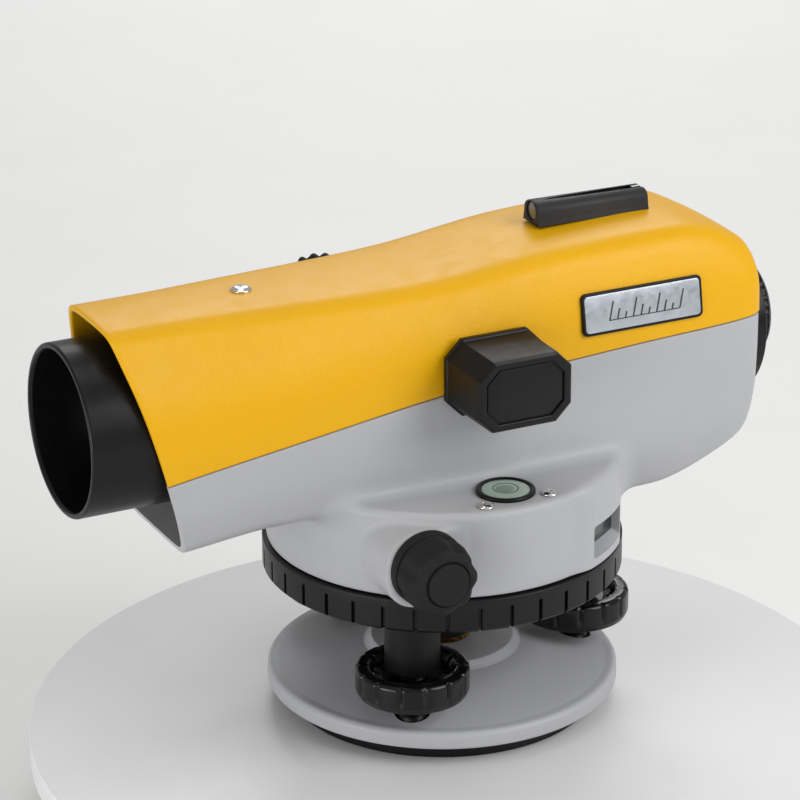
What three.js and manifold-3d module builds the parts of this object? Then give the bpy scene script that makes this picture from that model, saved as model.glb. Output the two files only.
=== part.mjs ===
// Automatic (self-levelling) surveyor's level on a three-screw base.
// Units are millimetres.  Z is up, +X is the line of sight towards the objective,
// +Y is the observer's left.  The origin is where the tripod screw meets the base.
import * as THREE from 'three';
import { mergeVertices } from 'three/addons/utils/BufferGeometryUtils.js';
import Module from 'manifold-3d';

const wasm = await Module();
wasm.setup();

// ---------------------------------------------------------------- dimensions
const GAP = 0.3;                    // clearance between separate pieces
const SIGHT_Z = 101.9;              // height of the line of sight

const BASE_R = 51.1;                // base plate
const BASE_Z0 = 5.7;
const BASE_Z1 = 10.8;
const BOSS_R = 22;                  // raised centre of the base plate
const BOSS_Z = 18;
const CONE_Z = 15.9;                // top of the base plate's shallow cone, at the boss
const BASE_RING_R = 44.3;           // black ring the level stands on
const TRIPOD_BORE_R = 7.2;          // tripod screw bore

const FOOT_R = 40.5;                // foot screws: circle radius and first angle
const FOOT_ANGLE = 51;
const FOOT_BALL_R = 4.5;
const FOOT_BALL_Z = 9.6;
const FOOT_KNOB_R = 16;
const FOOT_KNOB_Z0 = 18.8;
const FOOT_KNOB_Z1 = 27;
const FOOT_FLUTES = 14;
const SLEEVE_R = 7.8;               // sleeve that guides each foot screw

const CIRCLE_R = 51.5;              // notched horizontal circle
const CIRCLE_Z0 = 41.6;
const CIRCLE_Z1 = 51.2;
const CIRCLE_NOTCHES = 36;

const DRUM_R = 50.3;                // round lower part of the housing
const DRUM_Z0 = 51.7;
const SHELF_Z = 76.5;
const SPINDLE_R = 7;

const DRIVE_X = 29.6;               // endless horizontal drive shaft, along Y
const DRIVE_Z = 64;
const DRIVE_KNOB_Y0 = 47.4;
const DRIVE_KNOB_Y1 = 62;
const WORM_R = 5;
const WORM_PITCH = 2.5;
const WHEEL_TEETH = 60;

const TUBE_R = 24;                  // objective tube
const TUBE_X0 = 52;
const TUBE_X1 = 114.8;
const FOCUS_X = 20.6;               // focusing knob, on the -Y side
const FOCUS_Z = 109.8;
const FOCUS_KNOB_R = 15;
const EYE_R = 24;                   // eyepiece ring
const REAR_X = -88.6;               // rear face of the housing
const WALL = 1.7;                    // wall of the housing and the cover
const MOUTH_X = 97.5;               // mouth of the cover at the line of sight
const MOUTH_SLOPE = 0.27;           // how far the mouth leans forward per mm up

const PRISM_Y0 = 29.9;              // bubble viewing prism housing
const PRISM_Y1 = 48;
const VIAL_Y = 38;                  // circular vial on the shelf
const VIAL_SCREW = [9.8, 45.1];

// ---------------------------------------------------------------- materials
const FINISHES = {
  yellow: [0xe2a614, 0.5, 0],
  grey: [0xb4b6ba, 0.45, 0.1],
  black: [0x17181a, 0.45, 0.1],
  rubber: [0x1d1d1e, 0.85, 0],
  gloss: [0x0e0e10, 0.2, 0],
  steel: [0xb9bcc0, 0.3, 1],
  brass: [0xb08d4a, 0.35, 1],
  alloy: [0xa8abb0, 0.4, 0.9],
  silver: [0xc9ccd2, 0.35, 0.6],
  glass: [0xb8ccc4, 0.05, 0],
};

const level = new THREE.Group();
level.name = 'automatic_level';

// ---------------------------------------------------------------- helpers
function toManifold(geometry) {
  const g = geometry.clone();
  g.deleteAttribute('normal');
  g.deleteAttribute('uv');
  const m = mergeVertices(g, 1e-5);
  return new wasm.Manifold(new wasm.Mesh({
    numProp: 3,
    vertProperties: new Float32Array(m.attributes.position.array),
    triVerts: new Uint32Array(m.index.array),
  }));
}

function toGeometry(solid) {
  const mesh = solid.getMesh();
  const g = new THREE.BufferGeometry();
  g.setAttribute('position', new THREE.BufferAttribute(new Float32Array(mesh.vertProperties), 3));
  g.setIndex(new THREE.BufferAttribute(new Uint32Array(mesh.triVerts), 1));
  g.computeVertexNormals();
  return g;
}

// Booleans can leave empty slivers beside the body: keep the real one.
function largest(solid) {
  const bodies = solid.decompose();
  return bodies.reduce((best, one) => (one.volume() > best.volume() ? one : best));
}

function add(name, body, finish) {
  const solid = largest(largest(body).simplify(0.05));
  const [color, roughness, metalness] = FINISHES[finish];
  const material = new THREE.MeshStandardMaterial({ color, roughness, metalness });
  const mesh = new THREE.Mesh(toGeometry(solid), material);
  mesh.name = name;
  level.add(mesh);
}

// A solid of revolution about Z from [radius, z] points that start and end on the axis
// or close on themselves.
function turned(points, segments = 24) {
  const profile = points.map(([r, z]) => new THREE.Vector2(r, z));
  return toManifold(new THREE.LatheGeometry(profile, segments).rotateX(Math.PI / 2));
}

function disc(r, z0, z1, segments = 24) {
  return turned([[0, z0], [r, z0], [r, z1], [0, z1]], segments);
}

function ring(rOut, rIn, z0, z1, segments = 24) {
  return turned([[rIn, z0], [rOut, z0], [rOut, z1], [rIn, z1], [rIn, z0]], segments);
}

function box(x0, x1, y0, y1, z0, z1) {
  const g = new THREE.BoxGeometry(x1 - x0, y1 - y0, z1 - z0);
  g.translate((x0 + x1) / 2, (y0 + y1) / 2, (z0 + z1) / 2);
  return toManifold(g);
}

// Turn a solid made about Z so that its axis lies along X, then put it at [x, y, z].
function alongX(solid, x = 0, y = 0, z = SIGHT_Z) {
  return solid.rotate([0, 90, 0]).translate([x, y, z]);
}

// Turn a solid made about Z so that its axis lies along Y, then put it at [x, y, z].
function alongY(solid, x, y, z) {
  return solid.rotate([-90, 0, 0]).translate([x, y, z]);
}

// Extrude an XY outline along Z.
function extruded(points, z0, z1) {
  const shape = new THREE.Shape(points.map(([x, y]) => new THREE.Vector2(x, y)));
  const g = new THREE.ExtrudeGeometry(shape, { depth: z1 - z0, bevelEnabled: false });
  return toManifold(g.translate(0, 0, z0));
}

// Extrude an XZ outline along Y, from y0 to y1.
function slab(points, y0, y1) {
  return extruded(points, -y1, -y0).rotate([90, 0, 0]);
}

// Extrude a YZ outline along X, from x0 to x1.
function plank(points, x0, x1) {
  return extruded(points, x0, x1).rotate([90, 0, 90]);
}

// Round a row of corners [y, z, size] into a chain of points.
function rounded(corners, steps = 3) {
  const out = [];
  for (let i = 0; i < corners.length; i += 1) {
    const [y, z, size = 0] = corners[i];
    if (size === 0) {
      out.push([y, z]);
      continue;
    }
    const [py, pz] = corners[(i + corners.length - 1) % corners.length];
    const [ny, nz] = corners[(i + 1) % corners.length];
    const before = Math.hypot(py - y, pz - z);
    const after = Math.hypot(ny - y, nz - z);
    for (let k = 0; k <= steps; k += 1) {
      const t = k / steps;
      const a = (1 - t) * (1 - t) * size / before;
      const b = t * t * size / after;
      out.push([y + a * (py - y) + b * (ny - y), z + a * (pz - z) + b * (nz - z)]);
    }
  }
  return out;
}

// Skin a row of closed sections, each [x, [[y, z], ...]], with flat ends.
function loft(sections) {
  const n = sections[0][1].length;
  const positions = [];
  for (const [x, points] of sections) {
    for (const [y, z] of points) positions.push(x, y, z);
  }
  const index = [];
  for (let s = 0; s + 1 < sections.length; s += 1) {
    for (let i = 0; i < n; i += 1) {
      const j = (i + 1) % n;
      const a = s * n + i;
      const b = s * n + j;
      index.push(a, b, a + n);
      index.push(b, b + n, a + n);
    }
  }
  for (const [s, first] of [[0, true], [sections.length - 1, false]]) {
    const [x, points] = sections[s];
    const hub = positions.length / 3;
    const height = points.reduce((sum, [, z]) => sum + z, 0) / n;
    positions.push(x, 0, height);
    for (let i = 0; i < n; i += 1) {
      const j = (i + 1) % n;
      if (first) index.push(s * n + j, s * n + i, hub);
      else index.push(s * n + i, s * n + j, hub);
    }
  }
  const g = new THREE.BufferGeometry();
  g.setAttribute('position', new THREE.Float32BufferAttribute(positions, 3));
  g.setIndex(index);
  const volume = signedVolume(g);
  if (volume < 0) {
    const flipped = [];
    for (let i = 0; i < index.length; i += 3) flipped.push(index[i], index[i + 2], index[i + 1]);
    g.setIndex(flipped);
  }
  return toManifold(g);
}

function signedVolume(g) {
  const p = g.attributes.position;
  const a = new THREE.Vector3();
  const b = new THREE.Vector3();
  const c = new THREE.Vector3();
  let volume = 0;
  for (let i = 0; i < g.index.count; i += 3) {
    a.fromBufferAttribute(p, g.index.getX(i));
    b.fromBufferAttribute(p, g.index.getX(i + 1));
    c.fromBufferAttribute(p, g.index.getX(i + 2));
    volume += a.dot(b.cross(c)) / 6;
  }
  return volume;
}

// A knob outline about Z with shallow scallops or ribs round the rim.
function fluted(r, depth, count, z0, z1, perFlute = 4) {
  const points = [];
  const n = count * perFlute;
  for (let i = 0; i < n; i += 1) {
    const a = (2 * Math.PI * i) / n;
    const dip = i % perFlute === 0 ? depth : 0;
    points.push([(r - dip) * Math.cos(a), (r - dip) * Math.sin(a)]);
  }
  return extruded(points, z0, z1);
}

// A pan-head screw pointing up, with a cross recess.  The head sits on z.
function screw(headR, headH, shankR, length, z) {
  const head = turned([
    [0, z - length], [shankR, z - length], [shankR, z], [headR, z],
    [headR, z + headH * 0.5], [headR * 0.7, z + headH], [0, z + headH],
  ], 16);
  const slot = headR * 0.6;
  const width = headR * 0.13;
  const cross = box(-slot, slot, -width, width, z + headH * 0.4, z + headH + 1)
    .add(box(-width, width, -slot, slot, z + headH * 0.4, z + headH + 1));
  return head.subtract(cross);
}

function footPosition(i) {
  const a = ((FOOT_ANGLE + 120 * i) * Math.PI) / 180;
  return [FOOT_R * Math.cos(a), FOOT_R * Math.sin(a)];
}

// ---------------------------------------------------------------- base
let basePlate = turned([
  [TRIPOD_BORE_R + 3.6, BASE_Z0], [BASE_R - 0.4, BASE_Z0], [BASE_R, BASE_Z0 + 0.6],
  [BASE_R, BASE_Z1 - 1.6], [BASE_R - 0.5, BASE_Z1 - 0.5], [BASE_R - 1.6, BASE_Z1],
  [BOSS_R + 0.6, CONE_Z], [BOSS_R - 0.2, CONE_Z + 0.4], [BOSS_R - 1.2, BOSS_Z - 0.3],
  [BOSS_R - 2, BOSS_Z],
  [TRIPOD_BORE_R + 3.6, BOSS_Z], [TRIPOD_BORE_R + 3.6, BASE_Z0],
], 40);
for (let i = 0; i < 3; i += 1) {
  const [x, y] = footPosition(i);
  const seat = disc(9, 3.2, BASE_Z0 + 1, 20).translate([x, y, 0]);
  const inRing = disc(BASE_RING_R - 1.9, 2, 7, 40);
  basePlate = basePlate.add(seat.intersect(inRing));
}
for (let i = 0; i < 3; i += 1) {
  const [x, y] = footPosition(i);
  const socket = turned([
    [0, 0], [2.2, 0], [2.2, 4.7], [FOOT_BALL_R + 0.6, 4.7], [FOOT_BALL_R + 0.6, 20], [0, 20],
  ], 20);
  basePlate = basePlate.subtract(socket.translate([x, y, 0]));
}
add('base_plate', basePlate, 'grey');

// Ring the level stands on: a thin foot with an upright rim.
add('base_ring', turned([
  [30, 0], [BASE_RING_R - 0.5, 0], [BASE_RING_R, 0.5], [BASE_RING_R, BASE_Z0 - GAP],
  [BASE_RING_R - 1.5, BASE_Z0 - GAP], [BASE_RING_R - 1.5, 0.9], [30, 0.9], [30, 0],
], 40), 'black');

const bushR = TRIPOD_BORE_R + 3.6 - GAP;
add('tripod_bush', turned([
  [TRIPOD_BORE_R, 0], [bushR + 4, 0], [bushR + 4, BASE_Z0 - GAP], [bushR, BASE_Z0 - GAP],
  [bushR, BOSS_Z - 0.4], [TRIPOD_BORE_R + 0.8, BOSS_Z - 0.4], [TRIPOD_BORE_R, BOSS_Z - 1.2],
  [TRIPOD_BORE_R, 0],
], 28), 'brass');

// Leaf spring under the base plate that keeps the three foot balls in their seats.
const SPRING_Z0 = 2.1;
const SPRING_Z1 = 2.8;
let springPlate = ring(24, 17, SPRING_Z0, SPRING_Z1, 24);
for (let i = 0; i < 3; i += 1) {
  const [x, y] = footPosition(i);
  const arm = box(20, BASE_RING_R - 3.4, -3.5, 3.5, SPRING_Z0, SPRING_Z1)
    .rotate([0, 0, FOOT_ANGLE + 120 * i]);
  const eye = disc(1.6, 0, 4, 16).translate([x, y, 0]);
  springPlate = springPlate.add(arm).subtract(eye);
}
add('spring_plate', springPlate, 'steel');

// ---------------------------------------------------------------- foot screws
for (let i = 0; i < 3; i += 1) {
  const [x, y] = footPosition(i);
  const sine = (deg) => Math.sin((deg * Math.PI) / 180);
  const ball = [];
  for (const deg of [-74, -50, -25, 0, 25, 50, 62]) {
    ball.push([FOOT_BALL_R * sine(90 - Math.abs(deg)), FOOT_BALL_Z + FOOT_BALL_R * sine(deg)]);
  }
  add(`ball_foot_${i + 1}`, turned([
    [0, 1.2], [1.9, 1.2], [1.9, 1.8], [1.2, 1.8], [1.2, 5.2], ...ball, [2.1, 14], [2.1, 17.4],
    [0, 17.4],
  ], 16).translate([x, y, 0]), 'steel');
  add(`foot_screw_${i + 1}`, turned([
    [2.8, 14.6], [4.2, 14.6], [4.2, 45.4], [3.4, 46.2], [0, 46.2], [0, 17.8], [2.8, 17.8],
    [2.8, 14.6],
  ], 16).translate([x, y, 0]), 'steel');
  const body = fluted(FOOT_KNOB_R, 0.7, FOOT_FLUTES, FOOT_KNOB_Z0, FOOT_KNOB_Z1, 4);
  const trim = turned([
    [0, FOOT_KNOB_Z0], [FOOT_KNOB_R - 1.2, FOOT_KNOB_Z0], [FOOT_KNOB_R + 0.2, FOOT_KNOB_Z0 + 1.2],
    [FOOT_KNOB_R + 0.2, FOOT_KNOB_Z1 - 1.8], [FOOT_KNOB_R - 1.6, FOOT_KNOB_Z1],
    [SLEEVE_R + 4.2, FOOT_KNOB_Z1], [SLEEVE_R + 1.4, FOOT_KNOB_Z1 - 3],
    [0, FOOT_KNOB_Z1 - 3],
  ], 20);
  const bore = disc(4.2 + GAP, 0, 60, 16);
  add(`foot_knob_${i + 1}`, body.intersect(trim).subtract(bore).translate([x, y, 0]), 'gloss');
}

// ---------------------------------------------------------------- tribrach
let tribrach = disc(CIRCLE_R - 3, CIRCLE_Z0 + 1.4, 48.4, 40);
for (let i = 0; i < 3; i += 1) {
  const [x, y] = footPosition(i);
  const sleeve = disc(SLEEVE_R, 26.2, 46.8, 24);
  tribrach = tribrach.add(sleeve.translate([x, y, 0]));
}
for (let i = 0; i < 3; i += 1) {
  const [x, y] = footPosition(i);
  tribrach = tribrach.subtract(disc(4.2 + 0.4, 20, 60, 16).translate([x, y, 0]));
}
tribrach = tribrach.subtract(disc(SPINDLE_R + GAP, 30, 60, 24));
add('tribrach', tribrach, 'black');

// Upright spindle with a nut below and a retaining collar near the top.
add('spindle', turned([
  [0, 18.4], [5.5, 18.4], [6.4, 20.5], [6.4, 24], [9.5, 25], [9.5, CIRCLE_Z0 + 0.9],
  [SPINDLE_R, CIRCLE_Z0 + 0.9], [SPINDLE_R, 74], [0, 74],
], 24), 'steel');

// ---------------------------------------------------------------- horizontal circle
let circle = turned([
  [CIRCLE_R - 2, CIRCLE_Z0], [CIRCLE_R - 0.5, CIRCLE_Z0], [CIRCLE_R, CIRCLE_Z0 + 0.5],
  [CIRCLE_R, CIRCLE_Z1], [34, CIRCLE_Z1], [34, 48.8], [CIRCLE_R - 2, 48.8],
  [CIRCLE_R - 2, CIRCLE_Z0],
], 40);
for (let i = 0; i < CIRCLE_NOTCHES; i += 1) {
  const angle = 4.5 + (360 / CIRCLE_NOTCHES) * i;
  const notch = box(CIRCLE_R - 0.8, CIRCLE_R + 1, -0.6, 0.6, CIRCLE_Z0 - 1, CIRCLE_Z1 - 2.6);
  circle = circle.subtract(notch.rotate([0, 0, angle]));
}
add('circle_ring', circle, 'black');

// ---------------------------------------------------------------- worm drive
const wheelR = DRIVE_X - WORM_R - 0.25;
const wheelPoints = [];
for (let i = 0; i < WHEEL_TEETH * 2; i += 1) {
  const a = (Math.PI * i) / WHEEL_TEETH;
  const r = i % 2 === 0 ? wheelR : wheelR - 0.9;
  wheelPoints.push([r * Math.cos(a), r * Math.sin(a)]);
}
add('worm_wheel', extruded(wheelPoints, DRIVE_Z - 3, DRIVE_Z + 3)
  .subtract(disc(SPINDLE_R + GAP, 0, 90, 24)), 'brass');

add('clutch_spring', turned([
  [SPINDLE_R + GAP, 68.2], [14, 67.3], [14, 68], [SPINDLE_R + GAP, 68.9], [SPINDLE_R + GAP, 68.2],
], 24), 'steel');

add('clutch_nut', disc(11, 69.3, 73, 6).subtract(disc(SPINDLE_R + GAP, 60, 80, 24)), 'steel');

add('bearing_sleeve', turned([
  [SPINDLE_R + GAP, 50.6], [11.9, 50.6], [11.9, 54.5], [17, 54.5], [17, 56.6], [11.9, 57.4],
  [11.9, 60.4], [SPINDLE_R + GAP, 60.4], [SPINDLE_R + GAP, 50.6],
], 24), 'brass');

// The worm is a single-start helical ridge on the middle of the drive shaft.
function worm(length) {
  const around = 12;
  const perTurn = 5;
  const rows = Math.round((length / WORM_PITCH) * perTurn);
  const positions = [];
  const index = [];
  for (let row = 0; row <= rows; row += 1) {
    const z = -length / 2 + (length * row) / rows;
    const fade = Math.min(1, row / perTurn, (rows - row) / perTurn);
    for (let i = 0; i < around; i += 1) {
      const a = (2 * Math.PI * i) / around;
      const phase = (2 * Math.PI * z) / WORM_PITCH - a;
      const r = WORM_R - 0.5 + 0.5 * fade * Math.cos(phase);
      positions.push(r * Math.cos(a), r * Math.sin(a), z);
    }
  }
  for (let row = 0; row < rows; row += 1) {
    for (let i = 0; i < around; i += 1) {
      const j = (i + 1) % around;
      const a = row * around + i;
      const b = row * around + j;
      index.push(a, b, a + around);
      index.push(b, b + around, a + around);
    }
  }
  const bottom = positions.length / 3;
  positions.push(0, 0, -length / 2, 0, 0, length / 2);
  for (let i = 0; i < around; i += 1) {
    const j = (i + 1) % around;
    index.push(bottom, j, i);
    index.push(bottom + 1, rows * around + i, rows * around + j);
  }
  const g = new THREE.BufferGeometry();
  g.setAttribute('position', new THREE.Float32BufferAttribute(positions, 3));
  g.setIndex(index);
  return toManifold(g);
}
const shaft = disc(2.5, -DRIVE_KNOB_Y1 + 4, DRIVE_KNOB_Y1 - 4, 20).add(worm(14));
add('drive_shaft', alongY(shaft, DRIVE_X, 0, DRIVE_Z), 'steel');

function driveKnob() {
  const r = 10.4;
  const grip = fluted(r, 0.8, 8, 0, DRIVE_KNOB_Y1 - DRIVE_KNOB_Y0, 5);
  const h = DRIVE_KNOB_Y1 - DRIVE_KNOB_Y0;
  const trim = turned([
    [0, 0], [r + 0.6, 0], [r + 0.6, 3], [r - 0.6, h - 2], [r - 2, h - 0.9], [6.2, h - 0.6],
    [5.8, h], [0, h],
  ], 20);
  return grip.intersect(trim).subtract(disc(2.5 + GAP, -1, h - 3.4, 24));
}
add('drive_knob_left', alongY(driveKnob(), DRIVE_X, DRIVE_KNOB_Y0, DRIVE_Z), 'rubber');
add('drive_knob_right', alongY(driveKnob(), 0, 0, 0).rotate([0, 0, 180])
  .translate([DRIVE_X, -DRIVE_KNOB_Y0, DRIVE_Z]), 'rubber');

// ---------------------------------------------------------------- housing and cover
// Half-sections of the body along the line of sight.  top and bottom are heights at the middle,
// shoulder, upper, side and foot are [half-width, height] corners down one flank.
const STATIONS = [
  { x: 118, top: 132.9, shoulder: 14.5, upper: [25.2, 114], side: [27.3, 98], foot: 21, bottom: 66.2 },
  { x: 90, top: 132.9, shoulder: 14.9, upper: [25.2, 114], side: [27.3, 98], foot: 21.5, bottom: 67.6 },
  { x: 60, top: 133, shoulder: 17, upper: [25.9, 116], side: [27.9, 99], foot: 22, bottom: 70.3 },
  { x: 30, top: 133.1, shoulder: 19.5, upper: [26.2, 118.5], side: [28.3, 100], foot: 23, bottom: 70 },
  { x: 12, top: 133.6, shoulder: 20.8, upper: [26.5, 120], side: [28.5, 103], foot: 23.5, bottom: 67 },
  { x: 0, top: 134.7, shoulder: 21.4, upper: [26.6, 121], side: [28.6, 104], foot: 23.8, bottom: 65 },
  { x: -12, top: 136.2, shoulder: 22, upper: [26.7, 122.5], side: [28.7, 106], foot: 24, bottom: 63 },
  { x: -24, top: 137.4, shoulder: 22.4, upper: [26.9, 124], side: [28.9, 108], foot: 24, bottom: 61.6 },
  { x: -38, top: 138, shoulder: 22.6, upper: [27, 125], side: [29, 110], foot: 24, bottom: 61 },
  { x: -57, top: 138.6, shoulder: 22.8, upper: [27, 125.6], side: [29, 110], foot: 24, bottom: 61 },
  { x: -66, top: 138.4, shoulder: 22.8, upper: [27, 125.8], side: [29, 109], foot: 24, bottom: 63 },
  { x: -76, top: 136.2, shoulder: 22.4, upper: [26.8, 124.6], side: [28.8, 108], foot: 23.8, bottom: 66.8 },
  { x: -83, top: 132.8, shoulder: 21.4, upper: [26.4, 123.2], side: [28, 107], foot: 23, bottom: 69.7 },
  { x: -86.6, top: 130.6, shoulder: 20.2, upper: [25.6, 122], side: [27, 105], foot: 22, bottom: 72.4 },
  { x: REAR_X, top: 128.4, shoulder: 18.8, upper: [24.6, 120.6], side: [25.2, 103.4], foot: 20, bottom: 75.6 },
];

function bodySection(s, inset) {
  const top = s.top - inset;
  const bottom = s.bottom + inset;
  const half = [
    [s.shoulder - inset * 0.7, top - 0.8, 5],
    [s.upper[0] - inset, s.upper[1], 6],
    [s.side[0] - inset, s.side[1], 6],
    [s.foot + 4.4 - inset, bottom + 12, 5],
    [s.foot - inset * 0.6, bottom + 0.6, 4],
  ];
  const other = half.map(([y, z, size]) => [-y, z, size]).reverse();
  return rounded([[0, top], ...half, [0, bottom], ...other]);
}

function bodyLoft(inset) {
  const list = STATIONS.map((s) => [s.x, bodySection(s, inset)]);
  return loft(list);
}

// Everything in front of the leaning mouth plane.
const lean = MOUTH_SLOPE * 60;
const ahead = slab([
  [MOUTH_X + lean, SIGHT_Z + 60], [MOUTH_X - lean, SIGHT_Z - 60], [160, SIGHT_Z - 60],
  [160, SIGHT_Z + 60],
], -60, 40);

// The parting line between the cover and the housing, front to rear.
const SEAM = [
  [130, 85], [94, 91.8], [72, 95.2], [51, 98.3], [33, 101], [15, 103.5], [-4, 105.6],
  [-27, 107.3], [-50, 108.6], [-110, 110.6],
];

const outer = bodyLoft(0).subtract(ahead);
const inner = bodyLoft(WALL).intersect(box(REAR_X + WALL, 140, -60, 60, 50, 150));
const below = slab([...SEAM, [-110, 40], [130, 40]], -70, 70);
const above = slab([...SEAM.map(([x, z]) => [x, z + GAP]), [-110, 170], [130, 170]], -70, 70);

let cover = outer.intersect(above).subtract(inner);
const eyeHole = alongX(disc(13.4, -100, -70, 28));
cover = cover.subtract(eyeHole);

// Hole for the focusing shaft, in the cover's far wall.
const focusHole = alongY(disc(5.3, -40, -20, 24), FOCUS_X, 0, FOCUS_Z);
cover = cover.subtract(focusHole);

// Pad of the prism housing's foot, let into the near wall.
const prismCorner = 4.6;
function octagon(cx, cz, w, h, c) {
  return [
    [cx - w + c, cz - h], [cx + w - c, cz - h], [cx + w, cz - h + c], [cx + w, cz + h - c],
    [cx + w - c, cz + h], [cx - w + c, cz + h], [cx - w, cz + h - c], [cx - w, cz - h + c],
  ];
}
const PRISM_X = -0.6;
const PRISM_Z = 108.8;
const prismPocket = slab(octagon(PRISM_X, PRISM_Z, 11, 7, 3), 20, 34);
cover = cover.subtract(prismPocket);

// Screw hole on top of the cover, and the seat of the open sight.
cover = cover.subtract(disc(1.9, 120, 140, 20).translate([61, 0, 0]));
const sightSeat = box(-63.9, -27.7, -5.3, 5.3, 137.2, 141);
cover = cover.subtract(sightSeat);

// Shallow seat for the nameplate.
const PLATE_CENTRE = [-48.1, 28, 119.4];
const PLATE_TILT = 9.6;
const plateSeat = box(-19.5, 19.5, -0.5 - GAP, 3, -6.3, 6.3)
  .rotate([-PLATE_TILT, 0, 0])
  .translate(PLATE_CENTRE);
add('top_cover', cover.subtract(plateSeat), 'yellow');

// Housing: lower half of the body joined to the round drum that turns on the spindle.
const drumBlank = turned([
  [0, DRUM_Z0], [DRUM_R, DRUM_Z0], [DRUM_R, SHELF_Z - 1.6], [DRUM_R - 0.5, SHELF_Z - 0.5],
  [DRUM_R - 1.6, SHELF_Z], [0, SHELF_Z],
], 40);
function driveBoss(side) {
  const shape = rounded([[16, DRUM_Z0], [40.5, DRUM_Z0, 9.5], [40.5, 73.5, 9.5], [16, 73.5]], 4);
  return side > 0 ? slab(shape, 20, 47) : slab(shape, -47, -20);
}
const windowAngle = 125;
const windowBoss = box(40, DRUM_R + 1.4, -9.5, 9.5, DRUM_Z0, 66.5).rotate([0, 0, windowAngle]);
let housing = outer.intersect(below)
  .add(drumBlank)
  .add(driveBoss(1))
  .add(driveBoss(-1))
  .add(windowBoss);
const drumInside = disc(DRUM_R - 2.6, 54.3, SHELF_Z - 2.4, 40);
housing = housing.subtract(drumInside);
housing = housing.subtract(inner.intersect(below));
housing = housing.subtract(disc(12.2, 40, 70, 28));
housing = housing.subtract(eyeHole);
housing = housing.subtract(alongY(disc(2.5 + GAP, -60, 60, 24), DRIVE_X, 0, DRIVE_Z));
housing = housing.subtract(prismPocket);
housing = housing.subtract(focusHole);

// Seats in the shelf for the vial and its two screws.
housing = housing.subtract(disc(6.6, SHELF_Z - 6, SHELF_Z + 5, 24).translate([0, VIAL_Y, 0]));
for (const side of [1, -1]) {
  housing = housing.subtract(disc(1.5, SHELF_Z - 6, SHELF_Z + 5, 16)
    .translate([side * VIAL_SCREW[0], VIAL_SCREW[1], 0]));
}
// Reading window cut through the drum wall.
const windowCut = box(44, 60, -7, 7, 54.4, 63.6).rotate([0, 0, windowAngle]);
housing = housing.subtract(windowCut);
// Cross walls in the housing that carry the main barrel and the eyepiece tube.
function crossWall(x0, x1, z0, r) {
  const wall = box(x0, x1, -32, 32, z0, 92);
  return wall.subtract(alongX(disc(r, x0 - 1, x1 + 1, 40)));
}
const inBody = bodyLoft(0.6).intersect(below);
for (const wall of [
  crossWall(36, 40, SHELF_Z - 2, 18.4), crossWall(0, 4, SHELF_Z - 2, 18.4),
  crossWall(-74, -70, 60, 11.4),
]) {
  housing = housing.add(wall.intersect(inBody));
}
add('housing', housing, 'grey');

add('cover_screw', screw(2.9, 1.3, 1.5, 5.5, 133.35).translate([61, 0, 0]), 'steel');

add('index_window', box(DRUM_R - 2.4, DRUM_R - 1.4, -6.7, 6.7, 54.8, 63.2)
  .rotate([0, 0, windowAngle]), 'glass');

// ---------------------------------------------------------------- objective
let tube = turned([
  [TUBE_R - 1.8, TUBE_X0], [TUBE_R, TUBE_X0], [TUBE_R, TUBE_X1 - 0.8], [TUBE_R - 0.8, TUBE_X1],
  [TUBE_R - 1.3, TUBE_X1], [TUBE_R - 1.8, TUBE_X1 - 0.6], [TUBE_R - 1.8, TUBE_X0],
], 40);
add('objective_tube', alongX(tube), 'black');
add('objective_cell', alongX(turned([
  [17.6, 86], [TUBE_R - 1.8 - GAP, 86], [TUBE_R - 1.8 - GAP, 96], [18.6, 96], [18.6, 90.3],
  [17.6, 90.3], [17.6, 86],
])), 'black');
add('objective_lens', alongX(turned([
  [0, 89.4], [9, 89.9], [17.2, 91.2], [18.2, 91.2], [18.2, 95.4], [9, 98.2], [0, 99.2],
])), 'glass');

add('main_barrel', alongX(turned([
  [16, -6], [18, -6], [18, 50], [TUBE_R - 1.8 - GAP, 50], [TUBE_R - 1.8 - GAP, 58], [16, 58],
  [16, -6],
])).subtract(box(1, 46, -20, -10, 103.6, 113.4)), 'black');

// ---------------------------------------------------------------- focusing
const focusCell = turned([
  [11.4, 16], [15.6, 16], [15.6, 34], [12.6, 34], [12.6, 27.4], [11.4, 27.4], [11.4, 16],
], 28);
const rack = box(12, 37, -19.6, -14.4, 104.2, 105.7).subtract(alongX(disc(15, 0, 40)));
add('focus_cell', alongX(focusCell).add(rack), 'black');
add('focus_lens', alongX(turned([
  [0, 28.8], [6, 28.4], [12.1, 27.7], [12.1, 33], [6, 31.6], [0, 31],
], 28)), 'glass');
const pinion = fluted(3.3, 0.7, 12, -19.4, -16.4, 2);
add('focus_shaft', alongY(disc(2.2, -40.6, -16.4, 20).add(pinion), FOCUS_X, 0, FOCUS_Z), 'steel');
const focusKnob = fluted(FOCUS_KNOB_R, 1, 24, -42, -30.6, 3)
  .intersect(turned([
    [0, -42], [FOCUS_KNOB_R - 1.4, -42], [FOCUS_KNOB_R + 0.4, -40.6], [FOCUS_KNOB_R + 0.4, -32],
    [FOCUS_KNOB_R - 1, -30.6], [0, -30.6],
  ], 20))
  .subtract(disc(2.5, -41, -20, 20));
add('focus_knob', alongY(focusKnob, FOCUS_X, 0, FOCUS_Z), 'rubber');

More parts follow.
